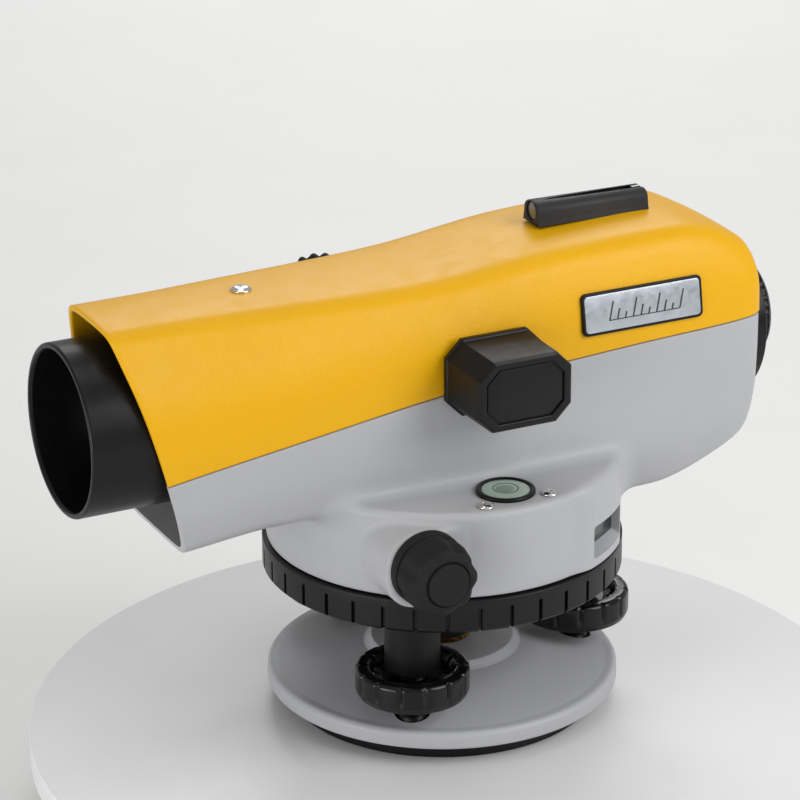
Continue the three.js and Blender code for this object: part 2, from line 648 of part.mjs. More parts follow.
// ---------------------------------------------------------------- compensator
const frameOuter = box(-52, -14, -15, 15, 83, 122);
const frameHole = box(-48, -18, -12, 12, 80, 118);
const frameBore = alongX(disc(9, -60, 0, 24), 0, 0, SIGHT_Z);
add('compensator_frame', frameOuter.subtract(frameHole).subtract(frameBore), 'alloy');
const pendulum = box(-41, -25, -9, 9, 90, 94).add(box(-41, -39, -9, 9, 92, 111))
  .add(box(-27, -25, -9, 9, 92, 111)).add(box(-41, -25, -9, -7.4, 90, 111))
  .add(box(-41, -25, -9, 9, 110.8, 112.4));
add('pendulum', pendulum.subtract(alongX(disc(6, -60, 0, 28))), 'brass');
const prismOutline = [[-38.6, 94.4], [-27.4, 94.4], [-27.4, 108], [-33, 110.4], [-38.6, 108]];
add('pendulum_prism', slab(prismOutline, -6.8, 8.6), 'glass');
for (const [name, y] of [['suspension_wire_1', 6], ['suspension_wire_2', -6]]) {
  add(name, slab([
    [-33.6, 112.7], [-32.4, 112.7], [-32.4, 117.7], [-33.6, 117.7],
  ], y - 0.4, y + 0.4), 'steel');
}

// ---------------------------------------------------------------- eyepiece
add('reticle_holder', alongX(turned([
  [5.6, -69], [10.6, -69], [10.6, -62.4], [6.9, -62.4], [6.9, -65.6], [5.6, -65.6], [5.6, -69],
], 24)), 'black');
add('reticle', alongX(disc(6.6, -65.3, -63.4, 28)), 'glass');
add('eyepiece_tube', alongX(turned([
  [9, -97], [11, -97], [11, -90], [13, -90], [13, -80], [11, -80], [11, -66], [10.9, -66],
  [10.9, -79], [9, -79], [9, -97],
], 24)), 'black');
add('eyepiece_cell', alongX(turned([
  [6.5, -95], [8.7, -95], [8.7, -80], [7.5, -80], [7.5, -92], [6.5, -92], [6.5, -95],
], 24)), 'alloy');
add('eyepiece_lens', alongX(turned([
  [0, -91.4], [7.2, -91], [7.2, -86.6], [0, -84.4],
], 20)), 'glass');
add('eyepiece_ring', alongX(turned([
  [11.3, -100], [14, -100], [15.4, -98.6], [15.4, -93.6], [EYE_R - 2, -93], [EYE_R, -92.2],
  [EYE_R, -89.4], [EYE_R - 0.6, -88.9], [13.4, -88.9], [13.4, -90.3], [11.3, -90.3], [11.3, -100],
], 28)), 'black');

// ---------------------------------------------------------------- open sight
const sightOutline = rounded([
  [-5, 138.4], [5, 138.4], [4, 145.4, 2.6], [-4, 145.4, 2.6],
]);
let sight = plank(sightOutline, -63.6, -28);
sight = sight.subtract(alongX(disc(2.7, -70, -20, 24), 0, 0, 141.9));
add('sight_body', sight, 'black');
add('sight_window', alongX(disc(2.4, -30.2, -28.8, 24), 0, 0, 141.9), 'glass');
add('sight_lens', alongX(turned([[0, -63.4], [2.4, -63], [2.4, -60], [0, -59.6]], 24), 0, 0, 141.9),
  'glass');

// ---------------------------------------------------------------- circular vial
add('vial_cup', turned([
  [0, SHELF_Z - 4.6], [6.3, SHELF_Z - 4.6], [6.3, SHELF_Z + 0.3], [8.3, SHELF_Z + 0.3],
  [8.3, SHELF_Z + 0.8], [7.9, SHELF_Z + 1.2], [6.8, SHELF_Z + 1.2], [6, SHELF_Z + 0.6],
  [6, SHELF_Z - 3.6], [0, SHELF_Z - 3.6],
], 24).translate([0, VIAL_Y, 0]), 'black');
add('vial_glass', turned([
  [0, SHELF_Z - 3.3], [5.7, SHELF_Z - 3.3], [5.7, SHELF_Z + 0.3], [4, SHELF_Z + 0.8],
  [0, SHELF_Z + 1],
], 20).translate([0, VIAL_Y, 0]), 'glass');
for (const [i, side] of [[1, 1], [2, -1]]) {
  add(`vial_screw_${i}`, screw(2.3, 1, 1.2, 5, SHELF_Z + GAP)
    .translate([side * VIAL_SCREW[0], VIAL_SCREW[1], 0]), 'steel');
}

// ---------------------------------------------------------------- bubble viewing prism
const prismSkirt = slab(octagon(PRISM_X, PRISM_Z, 14.5, 10.8, prismCorner), PRISM_Y0 - 0.6, PRISM_Y0 + 1.2);
const prismBlock = slab(octagon(PRISM_X, PRISM_Z, 14, 10, prismCorner), PRISM_Y0, PRISM_Y1 - 0.6);
const prismFace = slab(octagon(PRISM_X, PRISM_Z, 13.4, 9.4, prismCorner), PRISM_Y1 - 0.7, PRISM_Y1);
const facePanel = slab(octagon(PRISM_X, PRISM_Z, 10.6, 7, 3.4), PRISM_Y1 - 0.5, PRISM_Y1 + 1);
let prismHousing = prismBlock.add(prismSkirt).add(prismFace).subtract(facePanel);
prismHousing = prismHousing.subtract(box(PRISM_X - 20, PRISM_X + 9, PRISM_Y0 + 2, 45.4, 102, 115.6));
prismHousing = prismHousing.subtract(box(PRISM_X - 9, PRISM_X + 9, PRISM_Y0 + 2, 45.4, 90, 103));
// Spigot that plugs into the pocket in the body wall.
const spigot = slab(octagon(PRISM_X, PRISM_Z, 10.6, 6.6, 3), 25.6, PRISM_Y0);
add('prism_housing', prismHousing.add(spigot), 'black');
add('viewing_prism', slab([
  [PRISM_X - 8, 103.4], [PRISM_X + 8, 103.4], [PRISM_X - 8, 115],
], PRISM_Y0 + 2.4, 45), 'glass');

// ---------------------------------------------------------------- nameplate
const plate = (w, h, t) => box(-w, w, -t, t, -h, h).rotate([-PLATE_TILT, 0, 0])
  .translate(PLATE_CENTRE);
add('nameplate', plate(19.2, 6, 0.5), 'silver');

export default level;
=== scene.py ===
"""Looks of an automatic (self-levelling) surveyor's level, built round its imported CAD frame.

Lengths in the builders below are millimetres in the row frame: +X towards the objective,
+Y the observer's left, +Z up, origin where the tripod screw meets the base.
"""
import math

import bmesh
import bpy
import numpy as np
from mathutils import Matrix, Vector


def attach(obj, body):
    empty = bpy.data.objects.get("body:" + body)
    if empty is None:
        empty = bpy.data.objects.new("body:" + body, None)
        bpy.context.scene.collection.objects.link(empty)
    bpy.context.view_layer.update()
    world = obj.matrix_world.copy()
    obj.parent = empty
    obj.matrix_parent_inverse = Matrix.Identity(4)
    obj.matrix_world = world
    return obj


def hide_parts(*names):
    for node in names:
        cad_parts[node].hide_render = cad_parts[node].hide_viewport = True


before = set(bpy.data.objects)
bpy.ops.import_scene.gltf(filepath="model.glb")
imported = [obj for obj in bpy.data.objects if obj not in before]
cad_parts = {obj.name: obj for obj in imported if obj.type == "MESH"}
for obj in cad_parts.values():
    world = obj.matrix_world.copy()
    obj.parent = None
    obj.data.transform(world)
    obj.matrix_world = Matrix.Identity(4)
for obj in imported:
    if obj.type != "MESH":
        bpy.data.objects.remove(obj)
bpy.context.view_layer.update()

MM = 0.001
SIGHT_Z = 101.9
BASE_R, BASE_Z0, BASE_Z1 = 50.6, 5.7, 10.8
BOSS_R, BOSS_Z, CONE_Z = 22.0, 18.0, 15.9
BASE_RING_R = 44.3
BORE_R = 7.2
FOOT_R, FOOT_ANGLE = 40.5, 51
FOOT_BALL_R, FOOT_BALL_Z = 4.5, 9.6
KNOB_R, KNOB_Z0, KNOB_Z1 = 16.0, 18.8, 27.0
FLUTES = 14
SLEEVE_R = 7.8
CIRCLE_R, CIRCLE_Z0, CIRCLE_Z1 = 51.5, 41.6, 51.2
NOTCHES, NOTCH_FIRST = 36, 4.5
DRUM_R, DRUM_Z0, SHELF_Z = 50.3, 51.7, 76.5
DRIVE_X, DRIVE_Z, DRIVE_Y0, DRIVE_Y1 = 29.6, 64.0, 47.4, 62.0
TUBE_R, TUBE_X0, TUBE_X1 = 24.0, 52.0, 114.8
FOCUS_X, FOCUS_Z, FOCUS_KNOB_R = 20.6, 109.8, 15.0
REAR_X = -88.6
WALL = 1.8
MOUTH_X, MOUTH_SLOPE = 97.5, 0.27
VIAL_Y = 38.0
VIAL_SCREW = (9.8, 45.1)
WINDOW_ANGLE = math.radians(125)
PRISM_X, PRISM_Z = -0.6, 108.8
PLATE_CENTRE, PLATE_TILT = (-48.1, 28.0, 119.4), math.radians(9.6)


# ------------------------------------------------------------------ materials
class Finish:
    """A node material under construction, with the few node patterns that all finishes share."""

    def __init__(self, name, color, rough, metal=0.0, **sockets):
        self.material = bpy.data.materials.new(name)
        self.material.use_nodes = True
        self.tree = self.material.node_tree
        self.shader = self.tree.nodes["Principled BSDF"]
        self.color, self.rough = color, rough
        self.shader.inputs["Base Color"].default_value = (*color, 1)
        self.shader.inputs["Roughness"].default_value = rough
        self.shader.inputs["Metallic"].default_value = metal
        for key, value in sockets.items():
            self.shader.inputs[key.replace("_", " ")].default_value = value
        self.place = self.node("ShaderNodeTexCoord").outputs["Object"]
        self.height = None

    def node(self, kind, **values):
        node = self.tree.nodes.new(kind)
        for key, value in values.items():
            setattr(node, key, value)
        return node

    def link(self, source, target):
        self.tree.links.new(source, target)

    def noise(self, size_mm, detail=2.0, stretch=None, rough=0.5):
        """Noise with features about size_mm across, from 0 to 1."""
        place = self.place
        if stretch:
            mapping = self.node("ShaderNodeMapping")
            mapping.inputs["Scale"].default_value = stretch
            self.link(place, mapping.inputs["Vector"])
            place = mapping.outputs["Vector"]
        node = self.node("ShaderNodeTexNoise")
        node.inputs["Scale"].default_value = 1 / (size_mm * MM)
        node.inputs["Detail"].default_value = detail
        node.inputs["Roughness"].default_value = rough
        self.link(place, node.inputs["Vector"])
        return node.outputs["Fac"]

    def cells(self, size_mm, feature="SMOOTH_F1"):
        node = self.node("ShaderNodeTexVoronoi", feature=feature)
        node.inputs["Scale"].default_value = 1 / (size_mm * MM)
        self.link(self.place, node.inputs["Vector"])
        return node.outputs["Distance"]

    def spread(self, value, low, high):
        """value from 0.3..0.7 stretched to low..high."""
        node = self.node("ShaderNodeMapRange")
        node.inputs["From Min"].default_value = 0.3
        node.inputs["From Max"].default_value = 0.7
        node.inputs["To Min"].default_value = low
        node.inputs["To Max"].default_value = high
        self.link(value, node.inputs["Value"])
        return node.outputs["Result"]

    def tint(self, value, amount, other=None):
        """Vary the colour by amount, towards other or towards a darker shade of itself."""
        mix = self.node("ShaderNodeMix", data_type="RGBA")
        mix.inputs["A"].default_value = (*self.color, 1)
        dark = other or tuple(c * (1 - amount) for c in self.color)
        mix.inputs["B"].default_value = (*dark, 1)
        before = self.shader.inputs["Base Color"].links
        if before:
            self.link(before[0].from_socket, mix.inputs["A"])
        self.link(value, mix.inputs["Factor"])
        self.link(mix.outputs["Result"], self.shader.inputs["Base Color"])
        return self

    def gloss(self, value, amount):
        """Vary the roughness by amount either way."""
        result = self.spread(value, self.rough - amount, self.rough + amount)
        self.link(result, self.shader.inputs["Roughness"])
        return self

    def bump(self, value, depth_mm, strength=1.0):
        node = self.node("ShaderNodeBump")
        node.inputs["Strength"].default_value = strength
        node.inputs["Distance"].default_value = depth_mm * MM
        self.link(value, node.inputs["Height"])
        if self.height:
            self.link(self.height, node.inputs["Normal"])
        self.height = node.outputs["Normal"]
        self.link(self.height, self.shader.inputs["Normal"])
        return self

    def edge_highlight_and_wear(self, color, amount, size_mm=3.0):
        """Outside edges tinted towards color (lighter on most finishes), broken up by noise: partly rubbed
        paint, partly a painted highlight along the rims.
        """
        geometry = self.node("ShaderNodeNewGeometry")
        edge = self.node("ShaderNodeMapRange")
        edge.inputs["From Min"].default_value = 0.54
        edge.inputs["From Max"].default_value = 0.66
        self.link(geometry.outputs["Pointiness"], edge.inputs["Value"])
        both = self.node("ShaderNodeMath", operation="MULTIPLY")
        self.link(edge.outputs["Result"], both.inputs[0])
        self.link(self.spread(self.noise(size_mm, 4), 0, amount), both.inputs[1])
        return self.tint(both.outputs["Value"], 0, color)


def powder_coat(name, color, rough, grain, depth, edge_highlight_and_wear_color):
    """Baked powder paint: fine pebbled grain, faint mottling and lighter edges, partly rubbed wear and
    partly a painted highlight.
    """
    f = Finish(name, color, rough, Specular_IOR_Level=0.26)
    f.tint(f.spread(f.noise(14, 3), 0, 1), 0.05)
    f.tint(f.spread(f.noise(0.35, 2), 0, 1), 0.06)
    f.gloss(f.noise(5, 3), 0.05)
    f.bump(f.noise(grain * 2.6, 2), depth * 1.6)
    f.bump(f.cells(grain), depth)
    f.bump(f.noise(grain * 0.5, 2), depth * 0.35)
    # lighter outside edges: rubbed wear plus a painted highlight along the rims
    f.edge_highlight_and_wear(edge_highlight_and_wear_color, 0.35)
    return f.material


def moulded(name, color, rough, grain, depth, vary=0.04, **sockets):
    """Moulded plastic or rubber with a fine spark-eroded texture."""
    sockets.setdefault("Specular_IOR_Level", 0.24)
    f = Finish(name, color, rough, **sockets)
    f.tint(f.spread(f.noise(9, 4), 0, 1), 0.25)
    f.gloss(f.noise(3.5, 4), vary)
    f.bump(f.noise(grain, 3), depth)
    # lighter outside edges: partly rubbed wear, partly a painted highlight along the rims
    f.edge_highlight_and_wear(tuple(min(1, c * 2.2 + 0.01) for c in color), 0.5)
    return f.material


def metal(name, color, rough, grain=(1, 1, 1), depth=0.004, vary=0.06):
    """Machined or plated metal with fine tool marks and slight staining."""
    f = Finish(name, color, rough, 1.0)
    f.tint(f.spread(f.noise(4, 4), 0, 1), 0.12)
    f.gloss(f.noise(1.6, 4), vary)
    f.bump(f.noise(0.25, 2, grain), depth)
    return f.material


def lens_glass(name, color, rough=0.03, see=0.0):
    f = Finish(name, color, rough, IOR=1.52, Transmission_Weight=see)
    f.shader.inputs["Coat Weight"].default_value = 0.6
    f.shader.inputs["Coat Roughness"].default_value = 0.03
    f.shader.inputs["Coat Tint"].default_value = (0.75, 0.95, 0.85, 1)
    f.gloss(f.noise(6, 3), 0.015)
    f.tint(f.spread(f.noise(8, 2), 0, 1), 0.15)
    return f.material


M = {
    "yellow": powder_coat("yellow_paint", (0.79, 0.41, 0.001), 0.42, 0.85, 0.030, (0.93, 0.66, 0.16)),
    "grey": powder_coat("grey_paint", (0.43, 0.435, 0.45), 0.40, 0.7, 0.010, (0.6, 0.6, 0.6)),
    # the lining is a lighter copy of the grey paint: painted light for the light falling in through the
    # mouth
    "lining": powder_coat("grey_lining_painted_lit", (0.60, 0.605, 0.61), 0.55, 0.7, 0.008, (0.4, 0.4, 0.4)),
    "satin": moulded("black_satin", (0.005, 0.005, 0.0055), 0.33, 0.5, 0.004, 0.05),
    "dull": moulded("dull_black", (0.004, 0.004, 0.0045), 0.7, 0.5, 0.004, 0.04),
    "plastic": moulded("black_plastic", (0.0045, 0.0045, 0.005), 0.40, 0.35, 0.012),
    "sight": moulded("sight_plastic", (0.028, 0.028, 0.03), 0.5, 0.4, 0.02),
    "rubber": moulded("rubber", (0.010, 0.010, 0.0105), 0.7, 0.45, 0.03),
    "gloss": moulded("gloss_black", (0.0035, 0.0035, 0.0045), 0.18, 2.5, 0.006,
                     Specular_IOR_Level=0.32),
    "notched": moulded("ring_black", (0.007, 0.007, 0.008), 0.36, 0.6, 0.006, 0.05),
    "steel": metal("steel", (0.52, 0.53, 0.55), 0.32),
    "chrome": metal("chrome", (0.72, 0.72, 0.72), 0.14, depth=0.002, vary=0.04),
    "brass": metal("brass", (0.62, 0.42, 0.16), 0.3),
    "alloy": metal("aluminium", (0.6, 0.61, 0.63), 0.38),
    "silver": metal("plate_silver", (0.52, 0.55, 0.60), 0.33, (1, 1, 18), 0.003),
    "glass": lens_glass("lens", (0.008, 0.012, 0.011)),
    "clear": lens_glass("clear_glass", (0.8, 0.85, 0.82), see=0.9),
    "vial": lens_glass("vial_fluid", (0.42, 0.46, 0.40), 0.08),
    "amber": lens_glass("sight_glass", (0.16, 0.12, 0.10), 0.25),
    "window": lens_glass("window_glass", (0.018, 0.019, 0.024), 0.3),
    "print": moulded("printed_marks", (0.03, 0.035, 0.045), 0.4, 0.3, 0.002),
    "pale": moulded("pale_marks", (0.42, 0.44, 0.47), 0.5, 0.3, 0.002),
}


# ------------------------------------------------------------------ mesh helpers
def piece(name, verts, faces, finish, body, stands_for=(), crease=35, closed=True):
    """A mesh object from millimetre vertices, riding on a CAD body."""
    mesh = bpy.data.meshes.new(name)
    mesh.from_pydata((np.asarray(verts, float) * MM).tolist(), [], [list(f) for f in faces])
    obj = bpy.data.objects.new(name, mesh)
    bpy.context.scene.collection.objects.link(obj)
    tidy(obj, closed, crease)
    mesh.materials.append(M[finish])
    return settle(obj, body, stands_for)


def settle(obj, body, stands_for=()):
    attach(obj, body)
    if stands_for:
        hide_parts(*stands_for)
    return obj


def tidy(obj, closed=True, crease=35):
    """Weld, drop empty faces, point the faces outwards and shade smooth up to crease degrees."""
    bm = bmesh.new()
    bm.from_mesh(obj.data)
    bmesh.ops.remove_doubles(bm, verts=bm.verts, dist=2e-6)
    bmesh.ops.dissolve_degenerate(bm, edges=bm.edges, dist=1e-6)
    if closed:
        bmesh.ops.recalc_face_normals(bm, faces=bm.faces)
    bm.to_mesh(obj.data)
    bm.free()
    smooth(obj.data, crease)


def smooth(mesh, crease):
    mesh.shade_smooth()
    mesh.set_sharp_from_angle(angle=math.radians(crease))


def soften(points, steps=5, closed=False):
    """Points (a, b[, radius]) with an arc of that radius at each corner that has one."""
    out = []
    n = len(points)
    for i, point in enumerate(points):
        here = np.array(point[:2], float)
        radius = point[2] if len(point) > 2 else 0
        if not radius or (not closed and i in (0, n - 1)):
            out.append(tuple(here))
            continue
        a = np.array(points[i - 1][:2], float) - here
        b = np.array(points[(i + 1) % n][:2], float) - here
        la, lb = np.linalg.norm(a), np.linalg.norm(b)
        a, b = a / la, b / lb
        half = math.acos(max(-1, min(1, float(a @ b)))) / 2
        reach = min(radius / math.tan(half), 0.499 * la, 0.499 * lb)
        radius = reach * math.tan(half)
        middle = (a + b) / np.linalg.norm(a + b)
        centre = here + middle * radius / math.sin(half)
        start, end = here + a * reach - centre, here + b * reach - centre
        sweep = math.atan2(start[0] * end[1] - start[1] * end[0], float(start @ end))
        for k in range(steps + 1):
            t = sweep * k / steps
            c, s = math.cos(t), math.sin(t)
            out.append(tuple(centre + (start[0] * c - start[1] * s, start[0] * s + start[1] * c)))
    return out


def dense(profile, step):
    """The same profile with points no more than about step apart, so that a shape can bend it."""
    out = []
    for a, b in zip(profile, profile[1:]):
        steps = max(1, int(math.hypot(b[0] - a[0], b[1] - a[1]) / step))
        out += [tuple(np.array(a) + (np.array(b) - a) * k / steps) for k in range(steps)]
    out.append(profile[-1])
    return out


def turned(profile, angles=96, shape=None):
    """Verts and faces of a solid of revolution about Z from (radius, z) points.
    shape(radius, z, angle) may return another radius."""
    if isinstance(angles, int):
        angles = np.arange(angles) * 2 * math.pi / angles
    p = np.array(profile, float)
    r, a = np.meshgrid(p[:, 0], angles, indexing="ij")
    z = np.repeat(p[:, 1][:, None], len(angles), 1)
    if shape:
        r = shape(r, z, a)
    verts = np.stack([r * np.cos(a), r * np.sin(a), z], -1).reshape(-1, 3)
    return verts, grid_faces(len(p), len(angles), wrap=True)


def grid_faces(rows, columns, wrap=False):
    faces = []
    last = columns if wrap else columns - 1
    for i in range(rows - 1):
        for j in range(last):
            k = (j + 1) % columns
            faces.append((i * columns + j, i * columns + k, (i + 1) * columns + k, (i + 1) * columns + j))
    return faces


def stack(loops):
    """A closed solid from a pile of loops with the same number of points, capped at both ends."""
    n = len(loops[0])
    verts = np.concatenate([np.asarray(loop, float) for loop in loops])
    faces = grid_faces(len(loops), n, wrap=True)
    faces.append(tuple(range(n))[::-1])
    faces.append(tuple((len(loops) - 1) * n + i for i in range(n)))
    return verts, faces


def inset(outline, distance):
    """A counter-clockwise outline moved inwards by distance."""
    p = np.asarray(outline, float)
    before = p - np.roll(p, 1, 0)
    after = np.roll(p, -1, 0) - p
    before /= np.linalg.norm(before, axis=1, keepdims=True) + 1e-12
    after /= np.linalg.norm(after, axis=1, keepdims=True) + 1e-12
    na = np.stack([-before[:, 1], before[:, 0]], 1)
    nb = np.stack([-after[:, 1], after[:, 0]], 1)
    n = na + nb
    n /= np.maximum((n * na).sum(1, keepdims=True), 0.3)
    return p + n * distance


def pad(outline, z0, z1, top=0.5, bottom=0.5, steps=4):
    """An outline raised from z0 to z1 with rounded edges."""
    loops = []
    for k in range(steps + 1):
        t = math.pi / 2 * k / steps
        loops.append((bottom * (1 - math.sin(t)), z0 + bottom * (1 - math.cos(t))))
    for k in range(steps + 1):
        t = math.pi / 2 * k / steps
        loops.append((top * (1 - math.cos(t)), z1 - top * (1 - math.sin(t))))
    made = []
    for d, z in loops:
        ring = inset(outline, d)
        made.append(np.c_[ring, np.full(len(ring), z)])
    return stack(made)


def along(verts, axis, at=(0, 0, 0)):
    """Turn what was made about Z so that its axis lies along X, Y or -Y, and put it at a place."""
    x, y, z = np.asarray(verts, float).T
    turned_to = {
        "Z": (x, y, z),
        "X": (z, y, -x),
        "Y": (x, z, -y),
        "-Y": (x, -z, y),
    }[axis]
    return np.stack(turned_to, 1) + np.asarray(at, float)


def join(*parts):
    """Several (verts, faces) as one."""
    verts, faces, shift = [], [], 0
    for v, f in parts:
        verts.append(np.asarray(v, float))
        faces += [tuple(i + shift for i in face) for face in f]
        shift += len(v)
    return np.concatenate(verts), faces


def octagon(w, h, corner, radius, steps=4):
    points = [
        (w, -h + corner), (w, h - corner), (w - corner, h), (-w + corner, h),
        (-w, h - corner), (-w, -h + corner), (-w + corner, -h), (w - corner, -h),
    ]
    return np.array(soften([(x, y, radius) for x, y in points], steps, closed=True))


def rectangle(w, h, radius, steps=5):
    points = [(w, -h, radius), (w, h, radius), (-w, h, radius), (-w, -h, radius)]
    return np.array(soften(points, steps, closed=True))


def bare(name, verts, faces):
    """A mesh object on no body, for use as a cutter."""
    mesh = bpy.data.meshes.new(name)
    mesh.from_pydata((np.asarray(verts, float) * MM).tolist(), [], [list(f) for f in faces])
    obj = bpy.data.objects.new(name, mesh)
    bpy.context.scene.collection.objects.link(obj)
    tidy(obj)
    return obj


def carve(obj, *cutters, crease=35):
    """Cut the cutters out of obj and apply that to its mesh."""
    for cutter in cutters:
        modifier = obj.modifiers.new("carve", "BOOLEAN")
        modifier.object = cutter
        modifier.operation = "DIFFERENCE"
        modifier.solver = "EXACT"
    mesh = bpy.data.meshes.new_from_object(obj.evaluated_get(bpy.context.evaluated_depsgraph_get()))
    obj.modifiers.clear()
    obj.data = mesh
    for cutter in cutters:
        bpy.data.objects.remove(cutter)
    smooth(obj.data, crease)
    return obj


def coat(obj, finish):
    """Leave one material on a carved piece."""
    obj.data.materials.clear()
    obj.data.materials.append(M[finish])


def dress(node, finish):
    """Give a CAD node that stays shown a better material."""
    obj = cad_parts[node]
    if not obj.material_slots:
        obj.data.materials.append(M[finish])
    for place in obj.material_slots:
        place.material = M[finish]


# ------------------------------------------------------------------ body sections
# One row for each place along the sight line: x, height of the top, half-width of the shoulder,
# (half-width, height) of the upper flank and of the widest point, half-width of the foot,
# and height of the underside.
STATIONS = np.array([
    (-88.6, 128.4, 18.8, 24.6, 120.6, 25.4, 103.4, 20.0, 75.6),
    (-86.6, 130.6, 20.2, 25.6, 122.0, 27.0, 105.0, 22.0, 72.4),
    (-83.0, 132.8, 21.4, 26.4, 123.2, 28.0, 107.0, 23.0, 69.7),
    (-76.0, 136.2, 22.4, 26.8, 124.6, 28.8, 108.0, 23.8, 66.8),
    (-66.0, 138.4, 22.8, 27.0, 125.8, 29.0, 109.0, 24.0, 63.0),
    (-57.0, 138.6, 22.8, 27.0, 125.6, 29.0, 110.0, 24.0, 61.0),
    (-38.0, 138.0, 22.6, 27.0, 125.0, 29.0, 110.0, 24.0, 61.0),
    (-24.0, 137.4, 22.4, 26.9, 124.0, 28.9, 108.0, 24.0, 61.6),
    (-12.0, 136.2, 22.0, 26.7, 122.5, 28.7, 106.0, 24.0, 63.0),
    (0.0, 134.7, 21.4, 26.6, 121.0, 28.6, 104.0, 23.8, 65.0),
    (12.0, 133.6, 20.8, 26.5, 120.0, 28.5, 103.0, 23.5, 67.0),
    (30.0, 133.1, 19.5, 26.2, 118.5, 28.3, 100.0, 23.0, 70.0),
    (60.0, 133.0, 17.0, 25.9, 116.0, 27.9, 99.0, 22.0, 70.3),
    (90.0, 132.9, 14.9, 25.2, 114.0, 27.3, 98.0, 21.5, 67.6),
    (118.0, 132.9, 14.5, 25.2, 114.0, 27.3, 98.0, 21.0, 66.2),
])
SEAM = np.array([
    (-110, 110.6), (-50, 108.6), (-27, 107.3), (-4, 105.6), (15, 103.5), (33, 101.0),
    (51, 98.3), (72, 95.2), (94, 91.8), (130, 85.0),
], float)
ROUNDING = (0, 8.0, 9.0, 7.5, 6.0, 5.0)


def through(xs, ys, x):
    """A smooth curve through (xs, ys) that doesn't overshoot."""
    h, slope = np.diff(xs), np.diff(ys) / np.diff(xs)
    m = np.zeros(len(xs))
    m[0], m[-1] = slope[0], slope[-1]
    for i in range(1, len(xs) - 1):
        if slope[i - 1] * slope[i] > 0:
            a, b = 2 * h[i] + h[i - 1], h[i] + 2 * h[i - 1]
            m[i] = (a + b) / (a / slope[i - 1] + b / slope[i])
    i = np.clip(np.searchsorted(xs, x) - 1, 0, len(h) - 1)
    t = (x - xs[i]) / h[i]
    return ((1 + 2 * t) * (1 - t) ** 2 * ys[i] + t * (1 - t) ** 2 * h[i] * m[i]
            + t * t * (3 - 2 * t) * ys[i + 1] + t * t * (t - 1) * h[i] * m[i + 1])


def blurred(values, x, reach):
    """values at even steps, evened out over reach mm, with less of that near the rear face."""
    half = int(reach / (x[1] - x[0]))
    kernel = np.exp(-np.linspace(-2, 2, 2 * half + 1) ** 2)
    kernel /= kernel.sum()
    soft = np.convolve(np.pad(values, half, mode="edge"), kernel, mode="valid")
    share = np.clip((x - REAR_X - 4) / 12, 0, 1)
    return values * (1 - share) + soft * share


FINE_X = np.arange(-88.6, 118.01, 0.1)
FINE = [blurred(through(STATIONS[:, 0], STATIONS[:, k], FINE_X), FINE_X, 9.0) for k in range(1, 9)]
SEAM_FINE = blurred(np.interp(FINE_X, SEAM[:, 0], SEAM[:, 1]), FINE_X, 14.0)


def seam(x):
    return np.interp(x, FINE_X, SEAM_FINE)


# Share of the parameter for each stretch of the flank: straight and rounded ones by turns.
STRETCHES = np.array([14, 11, 7, 13, 2, 13, 9, 9, 3, 9, 18], float)
KNOTS = np.concatenate([[0], np.cumsum(STRETCHES) / STRETCHES.sum()])


def flank(x, t):
    """(half-width, height) of the body's left outline at x, with t from 0 at the top to 1 below."""
    x, t = np.broadcast_arrays(np.asarray(x, float), np.asarray(t, float))
    top, shoulder, uy, uz, sy, sz, foot, low = (np.interp(x, FINE_X, c) for c in FINE)
    zero = np.zeros_like(x)
    corner = [
        (shoulder * 0.45, top), (shoulder, top - 0.9), (uy, uz), (sy, sz),
        (foot + 4.4, low + 12), (foot, low + 0.6), (foot * 0.5, low),
    ]
    corner = [np.stack(c, -1) for c in corner]
    start, end = {}, {}
    size = {i: np.linalg.norm(corner[i + 1] - corner[i], axis=-1) for i in range(6)}
    for i in range(1, 6):
        back, on = corner[i - 1] - corner[i], corner[i + 1] - corner[i]
        reach = np.minimum(ROUNDING[i], 0.47 * np.minimum(size[i - 1], size[i]))
        start[i] = corner[i] + back * (reach / size[i - 1])[..., None]
        end[i] = corner[i] + on * (reach / size[i])[..., None]
    first, last = np.stack([zero, top], -1), np.stack([zero, low], -1)
    pieces = [(first, corner[0], start[1]), (start[1], corner[1], end[1])]
    for i in range(2, 6):
        middle = (end[i - 1] + start[i]) / 2
        pieces += [(end[i - 1], middle, start[i]), (start[i], corner[i], end[i])]
    pieces.append((end[5], corner[6], last))
    result = np.zeros(x.shape + (2,))
    for k, (a, b, c) in enumerate(pieces):
        s = np.clip((t - KNOTS[k]) / (KNOTS[k + 1] - KNOTS[k]), 0, 1)[..., None]
        here = (t >= KNOTS[k]) & (t <= KNOTS[k + 1])
        value = (1 - s) ** 2 * a + 2 * s * (1 - s) * b + s * s * c
        result[here] = value[here]
    return result[..., 0], result[..., 1]


def seam_share(x, lift=0.0):
    """The flank parameter where the outline crosses the seam."""
    x = np.asarray(x, float)
    low, high = np.zeros_like(x), np.ones_like(x)
    goal = seam(x) + lift
    for _ in range(30):
        middle = (low + high) / 2
        above = flank(x, middle)[1] > goal
        low, high = np.where(above, middle, low), np.where(above, high, middle)
    return (low + high) / 2


def lean(xs, z):
    """How far a row that starts at xs leans forward at height z, so that the last row lies in the mouth."""
    share = np.clip((xs - 30) / (MOUTH_X - 30), 0, 1)
    return share * share * (3 - 2 * share) * MOUTH_SLOPE * (z - SIGHT_Z)


def flank_row(xs, ts, inward):
    """Points of one leaning row, moved inwards by inward mm in their section."""
    x = np.full_like(ts, xs)
    for _ in range(4):
        y, z = flank(x, ts)
        x = xs + lean(xs, z)
    y, z = flank(x, ts)
    step = 1e-3
    ya, za = flank(x, np.clip(ts - step, 0, 1))
    yb, zb = flank(x, np.clip(ts + step, 0, 1))
    ny, nz = -(zb - za), yb - ya
    size = np.hypot(ny, nz)
    y2, z2 = y - ny / size * inward, z - nz / size * inward
    return np.stack([x + lean(xs, z2) - lean(xs, z), y2, z2], -1)


